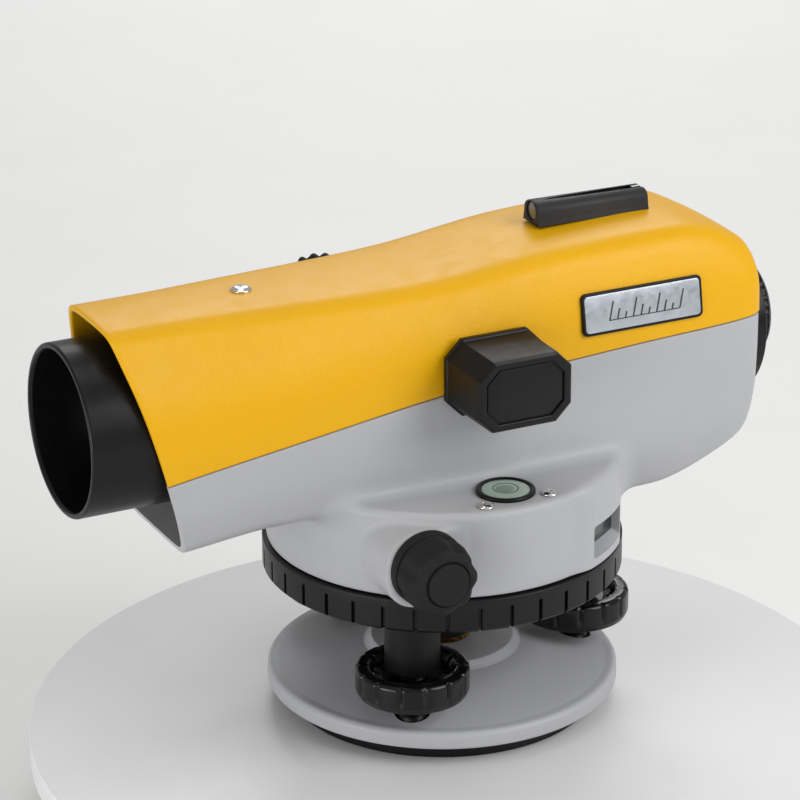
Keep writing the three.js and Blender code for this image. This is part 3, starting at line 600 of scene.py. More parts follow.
# ------------------------------------------------------------------ top cover
def cover():
    """The yellow cover: one shell with rounded rims along the mouth and the seam."""
    rim, mouth_rim = 0.4, 0.7
    # depth of the wall that each loop spans, from its outer to its inner side
    rows = []
    for k in range(5):
        angle = math.pi / 2 * k / 4
        rows.append((MOUTH_X - mouth_rim * (1 - math.cos(angle)), mouth_rim * (1 - math.sin(angle))))
    rows += [(x, 0) for x in np.arange(MOUTH_X - 1.6, -79, -1.5)]
    rows += [(REAR_X + d, 0) for d in (8, 7, 6, 5, 4.2, 3.4, 2.7, 2.1, 1.5, 1.0, 0.6, 0.3, 0.0)]
    half = 52
    even = np.linspace(0, 1, half)
    loops = []
    for xs, thin in rows:
        edge_x = xs
        for _ in range(6):
            edge_x = xs + lean(xs, seam(edge_x) + 0.15)
        share = float(seam_share(np.array([edge_x]), 0.15 + rim)[0])
        ts = even * share
        outer = flank_row(xs, ts, thin)
        inner = flank_row(xs, ts, WALL - thin)
        foot_out, foot_in = outer[-1], inner[-1]
        across = foot_in - foot_out
        across[2] = 0
        across /= np.linalg.norm(across)
        round_out, round_in = [], []
        for k in range(1, 5):
            a = math.pi / 2 * k / 4
            move = across * rim * (1 - math.cos(a)) + np.array([0, 0, -rim * math.sin(a)])
            round_out.append(foot_out + move)
            move = -across * rim * (1 - math.cos(a)) + np.array([0, 0, -rim * math.sin(a)])
            round_in.append(foot_in + move)
        side = np.concatenate([outer, round_out, round_in[::-1], inner[::-1]])
        loops.append(np.concatenate([side, (side * (1, -1, 1))[::-1]]))
    # the rear wall closes in to the eyepiece hole
    last = loops[-1]
    hole = 13.6
    for share in (0.35, 0.7, 1.0):
        loop = last.copy()
        radius = np.hypot(loop[:, 1], loop[:, 2] - SIGHT_Z)
        low = np.maximum(seam(REAR_X) + 0.15, loop[:, 2].min())
        target = loop.copy()
        target[:, 1] *= hole / radius
        target[:, 2] = SIGHT_Z + (loop[:, 2] - SIGHT_Z) * hole / radius
        tucked = target[:, 2] < low
        target[tucked, 2] = low
        target[tucked, 1] = np.sign(loop[tucked, 1]) * np.sqrt(hole**2 - (low - SIGHT_Z) ** 2)
        loop = last + (target - last) * share
        loops.append(loop)
    verts, faces = stack(loops)
    faces = faces[:-2]
    # close both ends between the outer and the inner side of the loop
    n = len(loops[0])
    half_n = n // 2
    outer_count = (half_n) // 2
    for base in (0, (len(loops) - 1) * n):
        for side in (0, half_n):
            for i in range(outer_count - 1):
                a, b = side + i, side + half_n - 1 - i
                faces.append((base + a, base + a + 1, base + b - 1, base + b))
    return piece("cover_shell", verts, faces, "yellow", "telescope",
                 ["top_cover"], crease=50)


# ------------------------------------------------------------------ housing
def smooth_union(a, b, k):
    h = np.clip(0.5 + 0.5 * (b - a) / k, 0, 1)
    return b * (1 - h) + a * h - k * h * (1 - h)


def rounded_pair(a, b, edge):
    """The common part of two solids, given as distances, with a rounded edge between them."""
    a, b = a + edge, b + edge
    return np.hypot(np.maximum(a, 0), np.maximum(b, 0)) + np.minimum(np.maximum(a, b), 0) - edge


FLANK_T = np.linspace(0, 1, 150)
TABLE_STEP = 0.5
TABLE_X = np.arange(REAR_X, 118.01, TABLE_STEP)
TABLE = np.stack(flank(TABLE_X[:, None], FLANK_T[None, :]), -1)
MIDDLE_Z = 95.0
BINS = 360


def facing():
    """For each section and each direction from its middle, the outline step in that direction."""
    angles = np.arctan2(TABLE[..., 0], TABLE[..., 1] - MIDDLE_Z)
    directions = (np.arange(BINS) + 0.5) * math.pi / BINS
    return np.array([np.searchsorted(row, directions) for row in angles]) - 1


FACING = facing()
NEIGHBOURS = np.array([-14, -9, -6, -4, -2, -1, 0, 1, 2, 4, 6, 9, 14])


def body_distance(x, y, z):
    """Signed distance in the section from the body's outline, for points with y >= 0."""
    place = np.clip((x - REAR_X) / TABLE_STEP, 0, len(TABLE_X) - 1.001)
    i = place.astype(int)
    share = (place - i)[:, None, None]
    toward = np.arctan2(y, z - MIDDLE_Z) / math.pi * BINS
    step = FACING[i, np.clip(toward.astype(int), 0, BINS - 1)]
    step = np.clip(step[:, None] + NEIGHBOURS, 0, len(FLANK_T) - 2)
    row = i[:, None]
    a = TABLE[row, step] * (1 - share) + TABLE[row + 1, step] * share
    b = TABLE[row, step + 1] * (1 - share) + TABLE[row + 1, step + 1] * share
    ny, nz = a[..., 1] - b[..., 1], b[..., 0] - a[..., 0]
    away = ny * (y[:, None] - a[..., 0]) + nz * (z[:, None] - a[..., 1])
    return (away / (np.hypot(ny, nz) + 1e-12)).max(1)


def housing_field(points):
    """Signed distance to the outside of the housing, before it is cut at the seam and the mouth."""
    x, y, z = points.T
    ay = np.abs(y)
    body = rounded_pair(body_distance(x, ay, z), REAR_X - x, 0.8)
    r = np.hypot(x, y)
    drum = rounded_pair(r - DRUM_R, z - SHELF_Z, 2.0)
    side = rounded_pair(rounded_pair(x - 40.5, z - 73.5, 9.0), 51.4 - z, 10.0)
    boss = rounded_pair(np.maximum(side, 16 - x), ay - 47, 1.6)
    drum = smooth_union(drum, boss, 1.6)
    v = -x * math.sin(WINDOW_ANGLE) + y * math.cos(WINDOW_ANGLE)
    swell = rounded_pair(r - 51.5, z - SHELF_Z, 3.0)
    front = x * math.cos(WINDOW_ANGLE) + y * math.sin(WINDOW_ANGLE) > 0
    swell = np.where(front, rounded_pair(swell, np.abs(v - 2) - 17.0, 8.0), 50.0)
    drum = smooth_union(drum, swell, 3.0)
    return smooth_union(body, drum, 5.5)


def surface_net(low, high, step, field):
    """Quads near the zero surface of field, with the corners moved onto it."""
    axes = [np.arange(a, b + step / 2, step) for a, b in zip(low, high)]
    nx, ny, nz = (len(a) for a in axes)
    # a coarse look first, so that only the cells near the surface are worked out in full
    skip = 4
    rough_axes = [np.append(a[::skip], a[-1] + step * skip) for a in axes]
    rough = np.stack(np.meshgrid(*rough_axes, indexing="ij"), -1)
    coarse = field(rough.reshape(-1, 3)).reshape(rough.shape[:3])
    index = np.meshgrid(*[np.arange(n) // skip for n in (nx, ny, nz)], indexing="ij")
    values = coarse[tuple(index)]
    near = np.abs(values) < step * skip * 1.9
    yy, zz = np.meshgrid(axes[1], axes[2], indexing="ij")
    for i, x in enumerate(axes[0]):
        here = near[i]
        plane = np.stack([np.full(here.sum(), x), yy[here], zz[here]], 1)
        values[i][here] = field(plane)
    values[0], values[-1] = 1, 1
    values[:, 0], values[:, -1] = 1, 1
    values[:, :, 0], values[:, :, -1] = 1, 1
    inside = values < 0
    total = np.zeros((nx - 1, ny - 1, nz - 1, 3))
    count = np.zeros((nx - 1, ny - 1, nz - 1))
    corners = [(0, 0, 0), (1, 0, 0), (0, 1, 0), (1, 1, 0), (0, 0, 1), (1, 0, 1), (0, 1, 1), (1, 1, 1)]

    def corner(array, c):
        return array[c[0]:nx - 1 + c[0], c[1]:ny - 1 + c[1], c[2]:nz - 1 + c[2]]

    for axis in range(3):
        for c in corners:
            if c[axis]:
                continue
            d = list(c)
            d[axis] = 1
            a, b = corner(values, c), corner(values, d)
            crossing = corner(inside, c) != corner(inside, d)
            t = np.where(crossing, a / np.where(crossing, a - b, 1), 0)
            for k in range(3):
                total[..., k] += np.where(crossing, c[k] + (t if k == axis else 0), 0)
            count += crossing
    used = count > 0
    number = np.full(used.shape, -1)
    number[used] = np.arange(used.sum())
    cell = np.argwhere(used)
    verts = np.array(low) + step * (cell + total[used] / count[used][:, None])
    faces = []
    for axis in range(3):
        b, c = (axis + 1) % 3, (axis + 2) % 3
        one = [slice(None)] * 3
        two = [slice(None)] * 3
        one[axis], two[axis] = slice(0, -1), slice(1, None)
        change = inside[tuple(one)] != inside[tuple(two)]
        where = np.argwhere(change)
        keep = (where[:, b] > 0) & (where[:, c] > 0)
        where = where[keep]
        ring = []
        for db, dc in ((0, 0), (-1, 0), (-1, -1), (0, -1)):
            at = where.copy()
            at[:, b] += db
            at[:, c] += dc
            ring.append(number[at[:, 0], at[:, 1], at[:, 2]])
        ring = np.stack(ring, 1)
        flip = inside[tuple(one)][tuple(where.T)]
        ring[~flip] = ring[~flip][:, ::-1]
        faces.append(ring)
    return onto(verts, field, 2), np.concatenate(faces)


def onto(points, field, rounds, step=0.02):
    """Move points onto the zero surface of field."""
    for _ in range(rounds):
        here = field(points)
        slope = np.stack([field(points + move) - here for move in np.eye(3) * step], 1) / step
        size = np.maximum((slope * slope).sum(1), 0.25)
        points = points - slope * (here / size)[:, None] * 0.95
    return points


def housing():
    """The grey casting: lower half of the body, shelf and drum in one skin, with rounded rims."""
    low, high = (-90.0, -54.0, 47.6), (104.4, 54.0, 115.2)
    step = 0.8
    capped = lambda p: np.maximum.reduce([
        housing_field(p), p[:, 2] - 114.0, 49.3 - p[:, 2], p[:, 0] - 103.0,
    ])
    verts, faces = surface_net(low, high, step, capped)
    blank = bare("housing_blank", verts, faces)
    cutters = [window_cutter(), bare("vial_bore", *cylinder(6.7, 70, 80, (0, VIAL_Y)))]
    carve(blank, *cutters)
    bm = bmesh.new()
    bm.from_mesh(blank.data)
    bpy.data.objects.remove(blank)
    bmesh.ops.scale(bm, vec=(1000, 1000, 1000), verts=bm.verts)
    mouth_normal = np.array([1, 0, -MOUTH_SLOPE]) / math.hypot(1, MOUTH_SLOPE)
    mouth_point = np.array([MOUTH_X, 0, SIGHT_Z])

    def bisect(point, normal):
        bmesh.ops.bisect_plane(
            bm, geom=bm.verts[:] + bm.edges[:] + bm.faces[:], dist=1e-4,
            plane_co=Vector(point), plane_no=Vector(normal),
        )

    rim = 0.45
    backs = sorted({rim - rim * math.sin(math.pi / 2 * k / 4) for k in range(5)} | {0.0})
    for d in backs:
        bisect(mouth_point - mouth_normal * d, mouth_normal)
        bisect((0, 0, DRUM_Z0 + d), (0, 0, -1))
    heights = seam([v.co.x for v in bm.verts])
    for v, h in zip(bm.verts, heights):
        v.co.z -= h
    for d in backs:
        bisect((0, 0, -0.15 - d), (0, 0, 1))
    for v in bm.verts:
        v.co.z += float(seam(v.co.x))
    bm.normal_update()
    place = np.array([v.co for v in bm.verts])
    normal = np.array([v.normal for v in bm.verts])
    to_mouth = (place - mouth_point) @ mouth_normal
    to_seam = place[:, 2] - seam(place[:, 0]) + 0.15
    to_floor = DRUM_Z0 - place[:, 2]
    nearest = np.maximum.reduce([to_mouth, to_seam, to_floor])
    depth = np.clip(nearest + rim, 0, rim)
    push = rim - np.sqrt(rim * rim - depth * depth)
    flat = normal.copy()
    flat[to_floor > -rim, 2] = 0
    flat[to_seam > -rim, 2] = 0
    flat /= np.linalg.norm(flat, axis=1, keepdims=True) + 1e-9
    moved = place - flat * push[:, None]
    for v, p in zip(bm.verts, moved):
        v.co = p
    gone = []
    for face in bm.faces:
        ids = [v.index for v in face.verts]
        if nearest[ids].mean() > 1e-3:
            gone.append(face)
    bmesh.ops.delete(bm, geom=gone, context="FACES")
    # flat rims, turned in by the rest of the wall
    bm.verts.ensure_lookup_table()
    edges = [e for e in bm.edges if e.is_boundary]
    made = bmesh.ops.extrude_edge_only(bm, edges=edges)["geom"]
    for v in made:
        if not isinstance(v, bmesh.types.BMVert):
            continue
        p = np.array(v.co)
        d_mouth = (p - mouth_point) @ mouth_normal
        d_seam = p[2] - seam(p[0]) + 0.15
        d_floor = DRUM_Z0 - p[2]
        if abs(d_floor) < 0.02:
            r = math.hypot(p[0], p[1])
            v.co = Vector((p[0] * 34 / r, p[1] * 34 / r, DRUM_Z0))
            continue
        section = flank_inward(p, WALL - rim)
        if d_mouth > -0.3:
            shift = MOUTH_SLOPE * (section[2] - p[2])
            v.co = Vector((p[0] + shift, section[1], section[2]))
        else:
            v.co = Vector((p[0], section[1], p[2]))
    bmesh.ops.recalc_face_normals(bm, faces=bm.faces)
    bmesh.ops.scale(bm, vec=(MM, MM, MM), verts=bm.verts)
    mesh = bpy.data.meshes.new("housing_casting")
    bm.to_mesh(mesh)
    bm.free()
    obj = bpy.data.objects.new("housing_casting", mesh)
    bpy.context.scene.collection.objects.link(obj)
    mesh.materials.append(M["grey"])
    smooth(mesh, 40)
    settle(obj, "telescope", ["housing"])
    # inside of the lower half, seen through the mouth, in a lighter grey than the outside: painted light
    # for the light falling in there
    rows = []
    for xs in np.concatenate([[MOUTH_X], np.arange(96, -84, -4.0)]):
        edge_x = xs
        for _ in range(5):
            edge_x = xs + lean(xs, seam(edge_x))
        share = float(seam_share(np.array([edge_x]), -0.15)[0])
        ts = np.linspace(share, 1, 40)
        row = flank_row(xs, ts, WALL)
        rows.append(np.concatenate([row, (row * (1, -1, 1))[::-1]]))
    count = len(rows[0])
    verts = np.concatenate(rows)
    faces = [f[::-1] for f in grid_faces(len(rows), count)]
    piece("housing_lining", verts, faces, "lining", "telescope", closed=False)
    return obj


def flank_inward(p, distance):
    """p moved inwards in its section by distance."""
    step = 0.05
    side = -1.0 if p[1] < 0 else 1.0
    ay = abs(p[1])
    f = lambda y, z: body_distance(np.array([p[0]]), np.array([y]), np.array([z]))[0]
    ny = (f(ay + step, p[2]) - f(max(ay - step, 0), p[2])) / (2 * step)
    nz = (f(ay, p[2] + step) - f(ay, p[2] - step)) / (2 * step)
    size = math.hypot(ny, nz) + 1e-9
    return (p[0], side * (ay - ny / size * distance), p[2] - nz / size * distance)


def cylinder(r, z0, z1, at=(0, 0), segments=64):
    verts, faces = turned([(0, z0), (r, z0), (r, z1), (0, z1)], segments)
    return verts + np.array([at[0], at[1], 0]), faces


def window_cutter():
    """The reading window's recess in the drum, with a sloping sill."""
    outline = rectangle(9.2, 5.0, 1.1) + (2.2, 0)
    loops = []
    for depth, sill in ((47.0, 2.3), (51.2, 0.3), (56.0, 0.3)):
        ring = np.c_[outline, np.full(len(outline), depth)]
        share = np.clip(-ring[:, 1] / 5.0, 0, 1)
        ring[:, 1] += 59.1 + sill * share
        loops.append(ring)
    verts, faces = stack(loops)
    v, z, u = verts.T
    c, s = math.cos(WINDOW_ANGLE), math.sin(WINDOW_ANGLE)
    return bare("window_cutter", np.stack([u * c - v * s, u * s + v * c, z], 1), faces)


# ------------------------------------------------------------------ small parts
def round_piece(name, profile, finish, body, axis="Z", at=(0, 0, 0), angles=96, shape=None,
                stands_for=(), crease=35):
    verts, faces = turned(profile, angles, shape)
    return piece(name, along(verts, axis, at), faces, finish, body, stands_for, crease)


def cross_recess(r, z):
    """Cutter for a cross-head recess centred on Z at height z, wider at the top."""
    parts = []
    for turn in (0, math.pi / 2):
        c, s = math.cos(turn), math.sin(turn)
        loops = []
        for depth, length, width in ((-0.62, 0.28, 0.06), (0.5, 0.66, 0.12)):
            ring = rectangle(r * length, r * width, r * 0.02, 2)
            ring = np.c_[ring[:, 0] * c - ring[:, 1] * s, ring[:, 0] * s + ring[:, 1] * c,
                         np.full(len(ring), z + depth * r * 0.5)]
            loops.append(ring)
        parts.append(stack(loops))
    return parts


def screw(name, r, height, shank, length, at, node, turn=0.4):
    """A chromed pan-head screw with a cross recess."""
    x, y, z = at
    profile = soften([
        (0, z - length), (shank, z - length, 0.2), (shank, z), (r, z, 0.1), (r, z + height * 0.45, 0.35),
        (r * 0.62, z + height * 0.98, 0.8), (0, z + height),
    ])
    verts, faces = turned(profile, 48)
    head = bare(name, verts, faces)
    for v, f in cross_recess(r, z + height):
        carve(head, bare("recess", v, f))
    c, s = math.cos(turn), math.sin(turn)
    for v in head.data.vertices:
        px, py, pz = v.co
        v.co = (px * c - py * s + x * MM, px * s + py * c + y * MM, pz)
    coat(head, "chrome")
    smooth(head.data, 35)
    return settle(head, "telescope", [node])


def foot_position(i):
    a = math.radians(FOOT_ANGLE + 120 * i)
    return FOOT_R * math.cos(a), FOOT_R * math.sin(a), 0.0


def lobes(r, z, a, count, depth, sharp, start, end):
    """Shallow flutes: radius lost at angle a, only between heights start and end."""
    phase = np.abs(((a * count / (2 * math.pi)) % 1) - 0.5) * 2
    near = np.clip((phase - (1 - sharp)) / sharp, 0, 1)
    dip = depth * near**2 * (3 - 2 * near)
    fade = np.clip((z - start) / 0.8, 0, 1) * np.clip((end - z) / 0.8, 0, 1)
    return r - dip * fade * (r > 0.55 * r.max())


def base_parts():
    verts, faces = turned(soften([
        (BORE_R + 3.6, BASE_Z0), (BASE_R, BASE_Z0, 0.8), (BASE_R, BASE_Z1, 1.9),
        (BASE_R - 3.2, BASE_Z1 + 0.1, 3.0), (BOSS_R + 0.7, CONE_Z, 0.5), (BOSS_R - 0.2, CONE_Z + 0.7, 0.4),
        (BOSS_R - 1.5, BOSS_Z, 0.7), (BORE_R + 0.6, BOSS_Z, 0.3), (BORE_R + 0.6, BOSS_Z - 0.45, 0.1),
        (BORE_R + 3.6, BOSS_Z - 0.45), (BORE_R + 3.6, BASE_Z0),
    ], 6), 160)
    plate = bare("base_plate_casting", verts, faces)
    for i in range(3):
        x, y, _ = foot_position(i)
        carve(plate, bare("socket", *cylinder(FOOT_BALL_R + 0.7, 4.7, 20, (x, y))))
    coat(plate, "grey")
    settle(plate, "base", ["base_plate"])
    round_piece("base_foot_ring", soften([
        (30, 0), (BASE_RING_R, 0, 0.6), (BASE_RING_R, BASE_Z0 - 0.3, 0.3),
        (BASE_RING_R - 1.5, BASE_Z0 - 0.3, 0.3), (BASE_RING_R - 1.5, 0.9, 0.4), (30, 0.9), (30, 0),
    ]), "satin", "base", angles=144, stands_for=["base_ring"])
    bush = BORE_R + 3.3
    thread = []
    z = 1.2
    while z < BOSS_Z - 2.2:
        thread += [(BORE_R + 0.05, z), (BORE_R + 0.75, z + 0.75)]
        z += 1.5
    round_piece("tripod_bush_brass", soften([
        (BORE_R + 0.7, 0), (bush + 4, 0, 0.4), (bush + 4, BASE_Z0 - 0.3, 0.3), (bush, BASE_Z0 - 0.3),
        (bush, BOSS_Z - 0.8, 0.4), (BORE_R + 1.0, BOSS_Z - 0.8),
    ]) + thread[::-1] + [(BORE_R + 0.7, 0)], "brass", "base", angles=72,
        stands_for=["tripod_bush"])
    dress("spring_plate", "steel")


def foot_parts():
    for i in range(3):
        n = i + 1
        at = foot_position(i)
        ball = []
        for deg in np.linspace(-72, 60, 14):
            a = math.radians(deg)
            ball.append((FOOT_BALL_R * math.cos(a), FOOT_BALL_Z + FOOT_BALL_R * math.sin(a)))
        # the ball foot takes the black satin finish rather than bare steel: painted shade, so that it reads
        # as the shadow under the knob
        round_piece(f"foot_ball_{n}", [
            (0, 1.2), (1.9, 1.2), (1.9, 1.8), (1.2, 1.8), (1.2, 5.2),
            *ball, (2.1, 14), (2.1, 17.4), (0, 17.4),
        ], "satin", f"ball_foot_{n}", at=at, angles=48, stands_for=[f"ball_foot_{n}"])
        thread = []
        z = 15.2
        while z < 44.6:
            thread += [(4.2, z), (3.86, z + 0.5)]
            z += 1.0
        round_piece(f"foot_thread_{n}", [
            (2.8, 14.6), (4.0, 14.6), *thread, (4.2, 45.4), (3.4, 46.2), (0, 46.2), (0, 17.8), (2.8, 17.8),
            (2.8, 14.6),
        ], "satin", f"foot_knob_{n}", at=at, angles=48, stands_for=[f"foot_screw_{n}"])
        start = math.radians(FOOT_ANGLE + 120 * i)
        profile = soften([
            (4.5, KNOB_Z0), (KNOB_R - 0.6, KNOB_Z0, 0.5), (KNOB_R - 0.15, KNOB_Z0 + 1.3, 0.3),
            (KNOB_R, KNOB_Z0 + 1.6, 0.2), (KNOB_R, KNOB_Z1 - 3.4), (KNOB_R, KNOB_Z1, 1.5),
            (SLEEVE_R + 4.6, KNOB_Z1, 0.9), (SLEEVE_R + 3.0, KNOB_Z1 - 2.4, 1.0),
            (SLEEVE_R + 0.8, KNOB_Z1 - 3.2, 0.5), (4.5, KNOB_Z1 - 3.2), (4.5, KNOB_Z0),
        ], 6)
        shape = lambda r, z, a: lobes(r, z, a - start, FLUTES, 0.6, 0.26, KNOB_Z0 + 2.2, KNOB_Z1 + 0.5)
        round_piece(f"foot_wheel_{n}", dense(profile, 0.8), "gloss", f"foot_knob_{n}", at=at,
                    angles=FLUTES * 20, shape=shape, stands_for=[f"foot_knob_{n}"], crease=40)


def tribrach_parts():
    disc = turned(soften([
        (7.3, 43.0), (CIRCLE_R - 3, 43.0, 0.6), (CIRCLE_R - 3, 48.4, 0.4), (7.3, 48.4), (7.3, 43.0),
    ]), 144)
    parts = [disc]
    for i in range(3):
        verts, faces = turned(soften([
            (4.7, 26.2), (SLEEVE_R, 26.2, 0.5), (SLEEVE_R, 43.1, 0.8), (SLEEVE_R + 1.4, 43.1),
            (4.7, 43.1), (4.7, 26.2),
        ]), 64)
        parts.append((verts + np.array(foot_position(i)), faces))
    verts, faces = join(*parts)
    piece("tribrach_casting", verts, faces, "plastic", "tribrach", ["tribrach"])
    round_piece("spindle_steel", soften([
        (0, 18.4), (5.5, 18.4, 0.6), (6.4, 20.5, 0.4), (6.4, 24, 0.4), (9.5, 25, 0.6), (9.5, 42.5),
        (7, 42.5), (7, 74, 0.8), (0, 74),
    ]), "steel", "tribrach", stands_for=["spindle"], angles=64)
    round_piece("spindle_nut", soften([
        (6.6, 19.8), (8.6, 19.8, 0.5), (9.2, 21.0, 0.4), (9.2, 23.4, 0.7), (8.2, 24.4, 0.4), (6.6, 24.4),
        (6.6, 19.8),
    ]), "satin", "tribrach", angles=64)
    dress("clutch_nut", "steel")


def circle_part():
    """The notched horizontal circle."""
    angles = []
    pitch = 2 * math.pi / NOTCHES
    wall, floor = 0.62 / CIRCLE_R, 0.50 / CIRCLE_R
    for i in range(NOTCHES):
        centre = math.radians(NOTCH_FIRST) + i * pitch
        angles += [centre + d for d in (-wall - 0.004, -wall, -floor, 0, floor, wall, wall + 0.004)]
        angles += [centre + wall + (pitch - 2 * wall) * k / 6 for k in range(1, 6)]
    profile = soften([
        (CIRCLE_R - 2, CIRCLE_Z0 + 0.2), (CIRCLE_R - 0.9, CIRCLE_Z0, 0.2), (CIRCLE_R, CIRCLE_Z0 + 0.9, 0.5),
        (CIRCLE_R, 48.2), (CIRCLE_R, 48.5), (CIRCLE_R, 48.7), (CIRCLE_R, CIRCLE_Z1, 0.4),
        (34, CIRCLE_Z1), (34, 48.8), (CIRCLE_R - 2, 48.8), (CIRCLE_R - 2, CIRCLE_Z0 + 0.2),
    ])

    def shape(r, z, a):
        phase = (a - math.radians(NOTCH_FIRST) + pitch / 2) % pitch - pitch / 2
        inside = np.clip((wall - np.abs(phase)) / (wall - floor), 0, 1)
        high = np.clip((48.6 - z) / 0.3, 0, 1)
        return np.where(r > CIRCLE_R - 1.2, np.maximum(r - 1.1 * inside * high, CIRCLE_R - 1.9), r)

    round_piece("circle_band", profile, "notched", "circle_ring",
                angles=np.array(angles), shape=shape, stands_for=["circle_ring"], crease=30)


def drive_parts():
    length = DRIVE_Y1 - DRIVE_Y0
    r = 10.4
    profile = soften([
        (2.8, 0), (r + 0.15, 0, 0.5), (r + 0.15, 3.2, 0.4), (r - 0.7, 3.3, 0.2), (r - 0.7, 3.8, 0.2),
        (r, 3.9, 0.3), (r, 8), (r - 0.9, length - 2.2, 1.0), (r - 2.6, length - 0.8, 0.8),
        (6.5, length - 0.75, 0.15), (6.35, length - 1.3, 0.1), (6.1, length - 1.3, 0.1),
        (5.95, length, 0.35), (0, length), (0, length - 3.4), (2.8, length - 3.4), (2.8, 0),
    ], 5)

    def shape(rr, z, a):
        phase = np.cos(8 * a)
        fade = np.clip((z - 3.6) / 0.8, 0, 1) * np.clip((rr - 6.8) / 1.6, 0, 1)
        return rr - fade * (0.85 * (0.5 - 0.5 * phase) ** 1.5)

    for name, axis, y, node in (
        ("drive_grip_left", "Y", DRIVE_Y0, "drive_knob_left"),
        ("drive_grip_right", "-Y", -DRIVE_Y0, "drive_knob_right"),
    ):
        round_piece(name, dense(profile, 0.7), "rubber", "drive", axis, (DRIVE_X, y, DRIVE_Z),
                    160, shape, [node], 40)
    dress("drive_shaft", "steel")
    dress("worm_wheel", "brass")
    dress("clutch_spring", "steel")
    dress("bearing_sleeve", "brass")


def objective_parts():
    at = (0, 0, SIGHT_Z)
    inner = TUBE_R - WALL
    rings = []
    x = 92.0
    while x < 108:
        rings += [(inner, x), (inner - 0.25, x + 0.25), (inner - 0.25, x + 0.5)]
        x += 0.8
    round_piece("objective_barrel", soften([
        (inner, TUBE_X0), (TUBE_R, TUBE_X0, 0.3), (TUBE_R, TUBE_X1, 0.9), (inner + 0.4, TUBE_X1, 0.35),
        (inner, TUBE_X1 - 0.9, 0.5), (inner, TUBE_X0),
    ], 6), "satin", "telescope", "X", at, 160, stands_for=["objective_tube"])
    round_piece("objective_lens_cell", soften([
        (17.6, 86), (inner - 0.3, 86), (inner - 0.3, 96, 0.3), (20.4, 96, 0.3), (18.6, 94.4, 0.2),
        (18.6, 90.3), (17.6, 90.3), (17.6, 86),
    ]), "dull", "telescope", "X", at, 128, stands_for=["objective_cell"])
    front = [(18.2 * k / 10, 95.4 + 3.8 * (1 - (k / 10) ** 2)) for k in range(11)]
    back = [(18.2 * k / 6, 89.4 + 1.8 * (k / 6) ** 2) for k in range(7)]
    round_piece("objective_glass", back + front[::-1], "glass", "telescope", "X", at, 96,
                stands_for=["objective_lens"])
    dress("main_barrel", "dull")
    dress("focus_cell", "dull")
    dress("focus_lens", "glass")
    dress("focus_shaft", "steel")


def focus_knob_part():
    r = FOCUS_KNOB_R
    profile = soften([
        (2.6, 30.6), (r - 2.2, 30.6, 0.4), (r, 32.0, 0.5), (r, 40.2, 0.9), (r - 1.6, 42, 0.6),
        (11.5, 42, 0.5), (10.6, 41.3, 0.3), (0, 41.3), (0, 41), (2.6, 41), (2.6, 30.6),
    ], 5)

    def shape(rr, z, a):
        fade = np.clip((z - 31.0) / 0.8, 0, 1) * np.clip((42.2 - z) / 0.8, 0, 1) * (rr > 0.7 * r)
        return rr - 1.25 * (0.5 - 0.5 * np.cos(24 * a)) ** 1.3 * fade

    round_piece("focus_wheel", dense(profile, 1.0), "rubber", "focus_knob", "-Y",
                (FOCUS_X, 0, FOCUS_Z), 24 * 12, shape, ["focus_knob"], 40)


def sight_parts():
    outline = np.array(soften([
        (-5, 138.2, 0.3), (5, 138.2, 0.3), (4.6, 140.0, 0.3), (4.0, 145.4, 2.9), (-4.0, 145.4, 2.9),
        (-4.6, 140.0, 0.3),
    ], 7, closed=True))
    rings = []
    for x, d in ((-28.0, 0.5), (-28.15, 0.2), (-28.5, 0.0), (-63.1, 0.0), (-63.45, 0.2), (-63.6, 0.5)):
        ring = inset(outline, d)
        # the roof falls a little towards the eye
        ring[:, 1] -= np.clip((ring[:, 1] - 140) / 5, 0, 1) * (0.7 + 0.5 * (-28 - x) / 35)
        rings.append(np.c_[np.full(len(ring), x), ring])
    body = bare("sight_tube", *stack(rings))
    bore, bore_faces = turned([(0, -70), (2.75, -70), (2.75, -20), (0, -20)], 48)
    carve(body, bare("bore", along(bore, "X", (0, 0, 141.9)), bore_faces))
    coat(body, "sight")
    settle(body, "telescope", ["sight_body"])
    round_piece("sight_front_glass", soften([
        (0, -30.2), (2.6, -30.2, 0.2), (2.6, -28.5, 0.3), (0, -28.3),
    ]), "amber", "telescope", "X", (0, 0, 141.9), 48, stands_for=["sight_window"])
    lens = [(0, -63.3), (1.4, -63.2), (2.5, -62.8), (2.5, -60.2), (1.4, -59.8), (0, -59.7)]
    round_piece("sight_rear_glass", lens, "glass", "telescope", "X", (0, 0, 141.9), 48,
                stands_for=["sight_lens"])


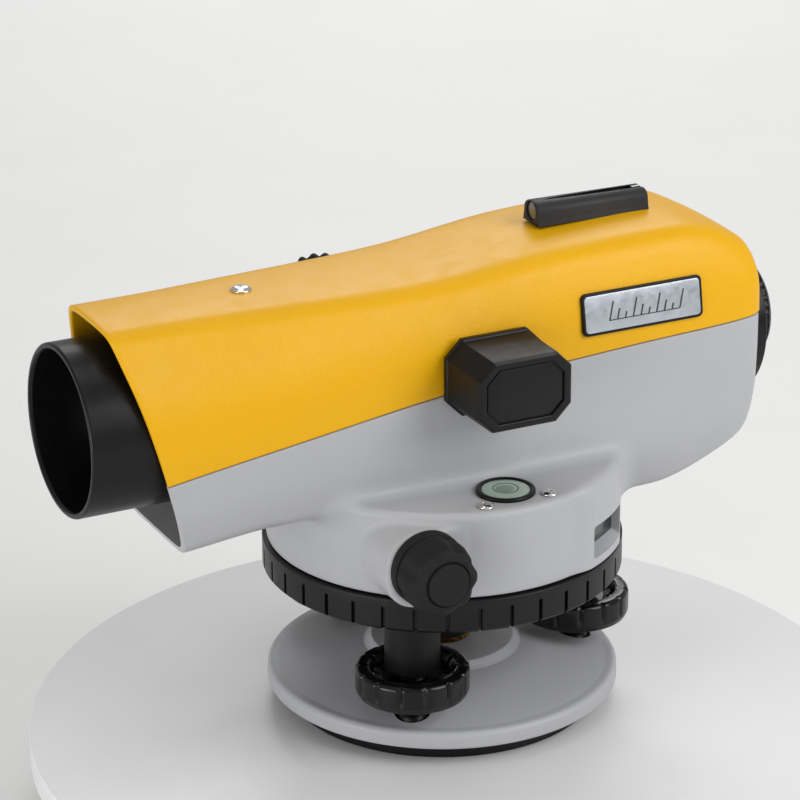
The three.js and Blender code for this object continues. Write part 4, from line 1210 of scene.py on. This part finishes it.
def vial_parts():
    at = (0, VIAL_Y, 0)
    z = SHELF_Z
    round_piece("vial_surround", soften([
        (0, z - 4.6), (6.3, z - 4.6, 0.3), (6.3, z - 0.2), (8.3, z - 0.2), (8.3, z + 1.0, 0.5),
        (7.3, z + 1.1, 0.3), (6.75, z + 0.55, 0.3), (6.05, z + 0.5), (6.05, z - 3.6), (0, z - 3.6),
    ]), "satin", "telescope", at=at, angles=96, stands_for=["vial_cup"])
    round_piece("vial_body", soften([
        (0, z - 3.3), (5.9, z - 3.3, 0.2), (6.7, z + 0.5), (6.6, z + 0.75, 0.15),
        (4.4, z + 0.95, 2), (0, z + 1.0),
    ]), "vial", "telescope", at=at, angles=96, stands_for=["vial_glass"])
    round_piece("vial_circle", [
        (3.35, z + 0.93), (3.6, z + 0.93), (3.6, z + 1.02), (3.35, z + 1.02), (3.35, z + 0.93),
    ], "print", "telescope", at=at)
    bubble = [(2.7 * math.sin(a), z + 0.93 + 0.22 * math.cos(a)) for a in np.linspace(0, math.pi / 2, 7)]
    round_piece("vial_bubble", [*bubble, (0, z + 0.9)], "clear", "telescope",
                at=(0.3, VIAL_Y + 0.2, 0), angles=64)
    for name, side, node, turn in (("left", 1, 1, 0.5), ("right", -1, 2, 1.1)):
        at = (side * VIAL_SCREW[0], VIAL_SCREW[1], z + 0.1)
        screw(f"vial_screw_{name}", 2.3, 1.0, 1.2, 5, at, f"vial_screw_{node}", turn)
    screw("cover_screw_head", 2.9, 1.3, 1.5, 5.5, (61, 0, 132.9), "cover_screw", 0.9)


def prism_parts():
    """Black block on the left flank whose prism shows the vial to the observer."""
    loops = []
    spigot = [(25.6, 10.5, 6.5, 3.0), (28.4, 10.6, 6.6, 3.0)]
    flange = [
        (28.45, 14.5, 10.8, 4.8), (28.7, 14.8, 11.1, 4.9), (30.1, 14.9, 11.2, 4.95),
        (30.5, 14.75, 11.0, 4.9), (30.7, 14.55, 10.5, 4.75),
    ]
    box = [
        (31.1, 14.45, 10.35, 4.7), (46.8, 14.35, 10.2, 4.65), (47.6, 14.1, 9.95, 4.6),
        (48.0, 13.6, 9.4, 4.4), (48.05, 13.1, 8.9, 4.2), (48.05, 12.1, 8.1, 3.85),
    ]
    panel = [
        (47.9, 11.85, 7.9, 3.8), (47.3, 11.75, 7.8, 3.75), (47.3, 11.4, 7.5, 3.65),
        (47.6, 11.3, 7.4, 3.6), (47.7, 11.0, 7.1, 3.5),
    ]
    for y, w, h, corner in spigot + flange + box + panel:
        ring = octagon(w, h, corner, 0.5)
        loops.append(np.c_[ring, np.full(len(ring), y)])
    verts, faces = stack(loops)
    block = bare("prism_block", along(verts, "Y", (PRISM_X, 0, PRISM_Z)), faces)
    for x0, x1, z0, z1 in ((-30, 9, -6.8, 6.8), (-9, 9, -20, -5)):
        loops = []
        for y in (31.9, 45.4):
            loops.append([(PRISM_X + x0, y, PRISM_Z + z0), (PRISM_X + x1, y, PRISM_Z + z0),
                          (PRISM_X + x1, y, PRISM_Z + z1), (PRISM_X + x0, y, PRISM_Z + z1)])
        carve(block, bare("opening", *stack(loops)))
    coat(block, "plastic")
    smooth(block.data, 25)
    settle(block, "telescope", ["prism_housing"])
    dress("viewing_prism", "glass")


def plate_part():
    """Silver plate with a dark rounded frame.  It carries a plain printed scale and no name."""
    def put(verts):
        x, y, z = np.asarray(verts, float).T
        c, s = math.cos(PLATE_TILT), math.sin(PLATE_TILT)
        # local z is outwards (+Y) and local y is up the flank
        out = z * c + y * -s
        up = y * c + z * s
        return np.stack([-x, out, up], 1) + np.array(PLATE_CENTRE)

    verts, faces = pad(rectangle(19.2, 6.0, 1.6), -0.6, 0.55, 0.25, 0.1)
    piece("plate_frame", put(verts), faces, "plastic", "telescope", ["nameplate"])
    verts, faces = pad(rectangle(18.4, 5.2, 1.1), -0.2, 0.6, 0.08, 0.05)
    piece("plate_face", put(verts), faces, "silver", "telescope")
    parts = []
    slant = 0.28

    def bar(x0, x1, y0, y1):
        loops = []
        for z in (0.55, 0.63):
            loops.append([(x0 + slant * y0, y0, z), (x1 + slant * y0, y0, z),
                          (x1 + slant * y1, y1, z), (x0 + slant * y1, y1, z)])
        parts.append(stack(loops))

    bar(-10.4, 12.4, -2.55, -2.25)
    for k in range(10):
        tall = 2.9 if k % 3 == 0 else (0.6 if k % 3 == 1 else -0.6)
        bar(-10.4 + 2.5 * k, -9.9 + 2.5 * k, -2.4, tall)
    verts, faces = join(*parts)
    piece("plate_scale", put(verts), faces, "print", "telescope")


def window_part():
    """The index window: dark glass over the horizontal graduation."""
    c, s = math.cos(WINDOW_ANGLE), math.sin(WINDOW_ANGLE)

    def block(v0, v1, z0, z1, u0, u1):
        loops = []
        for u in (u0, u1):
            loops.append([(u * c - v * s, u * s + v * c, z)
                          for v, z in ((v0, z0), (v1, z0), (v1, z1), (v0, z1))])
        return stack(loops)

    verts, faces = block(-7.4, 11.8, 55.6, 64.6, 46.9, 47.9)
    piece("index_glass", verts, faces, "window", "telescope", ["index_window"])
    parts = []
    for k in range(-6, 11):
        tall = 3.4 if k % 5 == 0 else 1.8
        parts.append(block(k - 0.11, k + 0.11, 63.4 - tall, 63.4, 47.8, 47.96))
    parts.append(block(-6.6, 10.8, 61.0, 61.2, 47.8, 47.96))
    verts, faces = join(*parts)
    piece("index_marks", verts, faces, "pale", "telescope")


def eyepiece_parts():
    at = (0, 0, SIGHT_Z)
    ring = soften([
        (11.3, -100), (14, -100, 0.5), (15.4, -98.6, 0.5), (15.4, -93.6, 0.8), (22.0, -93.2, 0.5),
        (24, -92.2, 0.7), (24, -89.2, 0.5), (23.4, -88.9), (13.4, -88.9), (13.4, -90.3), (11.3, -90.3),
        (11.3, -100),
    ], 5)

    def shape(r, z, a):
        small = (r > 14.6) & (r < 15.6) & (z < -94.2) & (z > -98.4)
        return r - 0.3 * (0.5 - 0.5 * np.cos(40 * a)) * small

    round_piece("eyepiece_collar", dense(ring, 0.8), "satin", "eyepiece_ring", "X", at,
                240, shape, ["eyepiece_ring"], 30)
    round_piece("eyepiece_barrel", soften([
        (9, -97), (11, -97, 0.3), (11, -90), (13, -90), (13, -80), (11, -80), (11, -66), (10.9, -66),
        (10.9, -79), (9, -79), (9, -97),
    ]), "dull", "telescope", "X", at, 72, stands_for=["eyepiece_tube"])
    round_piece("eyepiece_lens_cell", soften([
        (6.5, -95), (8.7, -95, 0.3), (8.7, -80), (7.5, -80), (7.5, -92), (6.5, -92), (6.5, -95),
    ]), "satin", "eyepiece_cell", "X", at, 72, stands_for=["eyepiece_cell"])
    back = [(7.2 * k / 6, -91.4 + 0.5 * (k / 6) ** 2) for k in range(7)]
    front = [(7.2 * k / 6, -84.4 - 2.2 * (k / 6) ** 2) for k in range(7)]
    round_piece("eyepiece_glass", back + front[::-1], "glass", "eyepiece_cell", "X", at, 64,
                stands_for=["eyepiece_lens"])


def inner_parts():
    for node, finish in (
        ("compensator_frame", "alloy"), ("pendulum", "brass"), ("pendulum_prism", "glass"),
        ("suspension_wire_1", "steel"), ("suspension_wire_2", "steel"), ("reticle_holder", "dull"),
        ("reticle", "glass"),
    ):
        dress(node, finish)


# ------------------------------------------------------------------ stage
def stage():
    """Round white turntable on a pale floor, soft lights and the camera."""
    def pale(name, color, rough):
        f = Finish(name, color, rough)
        f.tint(f.spread(f.noise(60, 3), 0, 1), 0.02)
        f.gloss(f.noise(20, 3), 0.04)
        f.bump(f.noise(1.2, 3), 0.01)
        return f.material

    verts, faces = turned(soften([(0, -9.0), (120.3, -9.0, 1.0), (120.3, -0.02, 0.8), (0, -0.02)], 4), 256)
    mesh = bpy.data.meshes.new("turntable")
    mesh.from_pydata(((verts + (4.5, 13.1, 0)) * MM).tolist(), [], [list(f) for f in faces])
    table = bpy.data.objects.new("turntable", mesh)
    bpy.context.scene.collection.objects.link(table)
    tidy(table)
    mesh.materials.append(pale("turntable_white", (0.74, 0.73, 0.74), 0.4))
    corners = [(-4, -4), (4, -4), (4, 4), (-4, 4)]
    floor_mesh = bpy.data.meshes.new("floor")
    floor_mesh.from_pydata([(x, y, -0.032) for x, y in corners], [], [(0, 1, 2, 3)])
    floor = bpy.data.objects.new("floor", floor_mesh)
    bpy.context.scene.collection.objects.link(floor)
    floor_mesh.materials.append(pale("floor_white", (0.84, 0.84, 0.83), 0.6))

    world = bpy.data.worlds.new("studio")
    bpy.context.scene.world = world
    world.use_nodes = True
    world.node_tree.nodes["Background"].inputs["Color"].default_value = (1, 1, 1, 1)
    world.node_tree.nodes["Background"].inputs["Strength"].default_value = 0.44

    def softbox(name, at, size, power, target=(0, 0, 0.09), color=(1, 1, 1)):
        data = bpy.data.lights.new(name, "AREA")
        data.shape = "RECTANGLE"
        data.size, data.size_y = size
        data.energy = power
        data.color = color
        lamp = bpy.data.objects.new(name, data)
        bpy.context.scene.collection.objects.link(lamp)
        lamp.location = at
        lamp.rotation_euler = (Vector(target) - Vector(at)).to_track_quat("-Z", "Y").to_euler()

    softbox("softbox_key", (-0.42, 0.62, 0.52), (0.55, 0.55), 4.6)
    softbox("softbox_top", (0.05, 0.0, 1.25), (0.6, 0.6), 1.7)
    softbox("softbox_fill", (0.85, 0.35, 0.16), (0.5, 0.4), 2.0, (0, 0.04, 0.06))
    softbox("softbox_front", (0.9, 0.08, 0.04), (0.4, 0.16), 1.5, (0.1, 0, 0.075))
    softbox("softbox_back", (-0.6, -1.1, 0.9), (0.7, 0.7), 6.0, (-0.4, -0.8, 0))

    yaw, pitch, roll = math.radians(-116.556), math.radians(21.582), math.radians(-0.277)
    forward = Vector((math.cos(pitch) * math.cos(yaw), math.cos(pitch) * math.sin(yaw), -math.sin(pitch)))
    right = forward.cross(Vector((0, 0, 1))).normalized()
    up = right.cross(forward)
    right, up = right * math.cos(roll) + up * math.sin(roll), up * math.cos(roll) - right * math.sin(roll)
    data = bpy.data.cameras.new("camera")
    data.sensor_width = 36
    data.lens = 3410.2 / 800 * 36
    data.clip_start, data.clip_end = 0.05, 20
    camera = bpy.data.objects.new("camera", data)
    bpy.context.scene.collection.objects.link(camera)
    turn = Matrix((right, up, -forward)).transposed().to_4x4()
    camera.matrix_world = Matrix.Translation(Vector((0.41013, 0.79416, 0.44366))) @ turn
    bpy.context.scene.camera = camera
    bpy.context.scene.view_settings.view_transform = "Standard"
    bpy.context.scene.view_settings.look = "None"


base_parts()
foot_parts()
tribrach_parts()
circle_part()
drive_parts()
cover()
housing()
objective_parts()
focus_knob_part()
sight_parts()
vial_parts()
prism_parts()
plate_part()
window_part()
eyepiece_parts()
inner_parts()
stage()
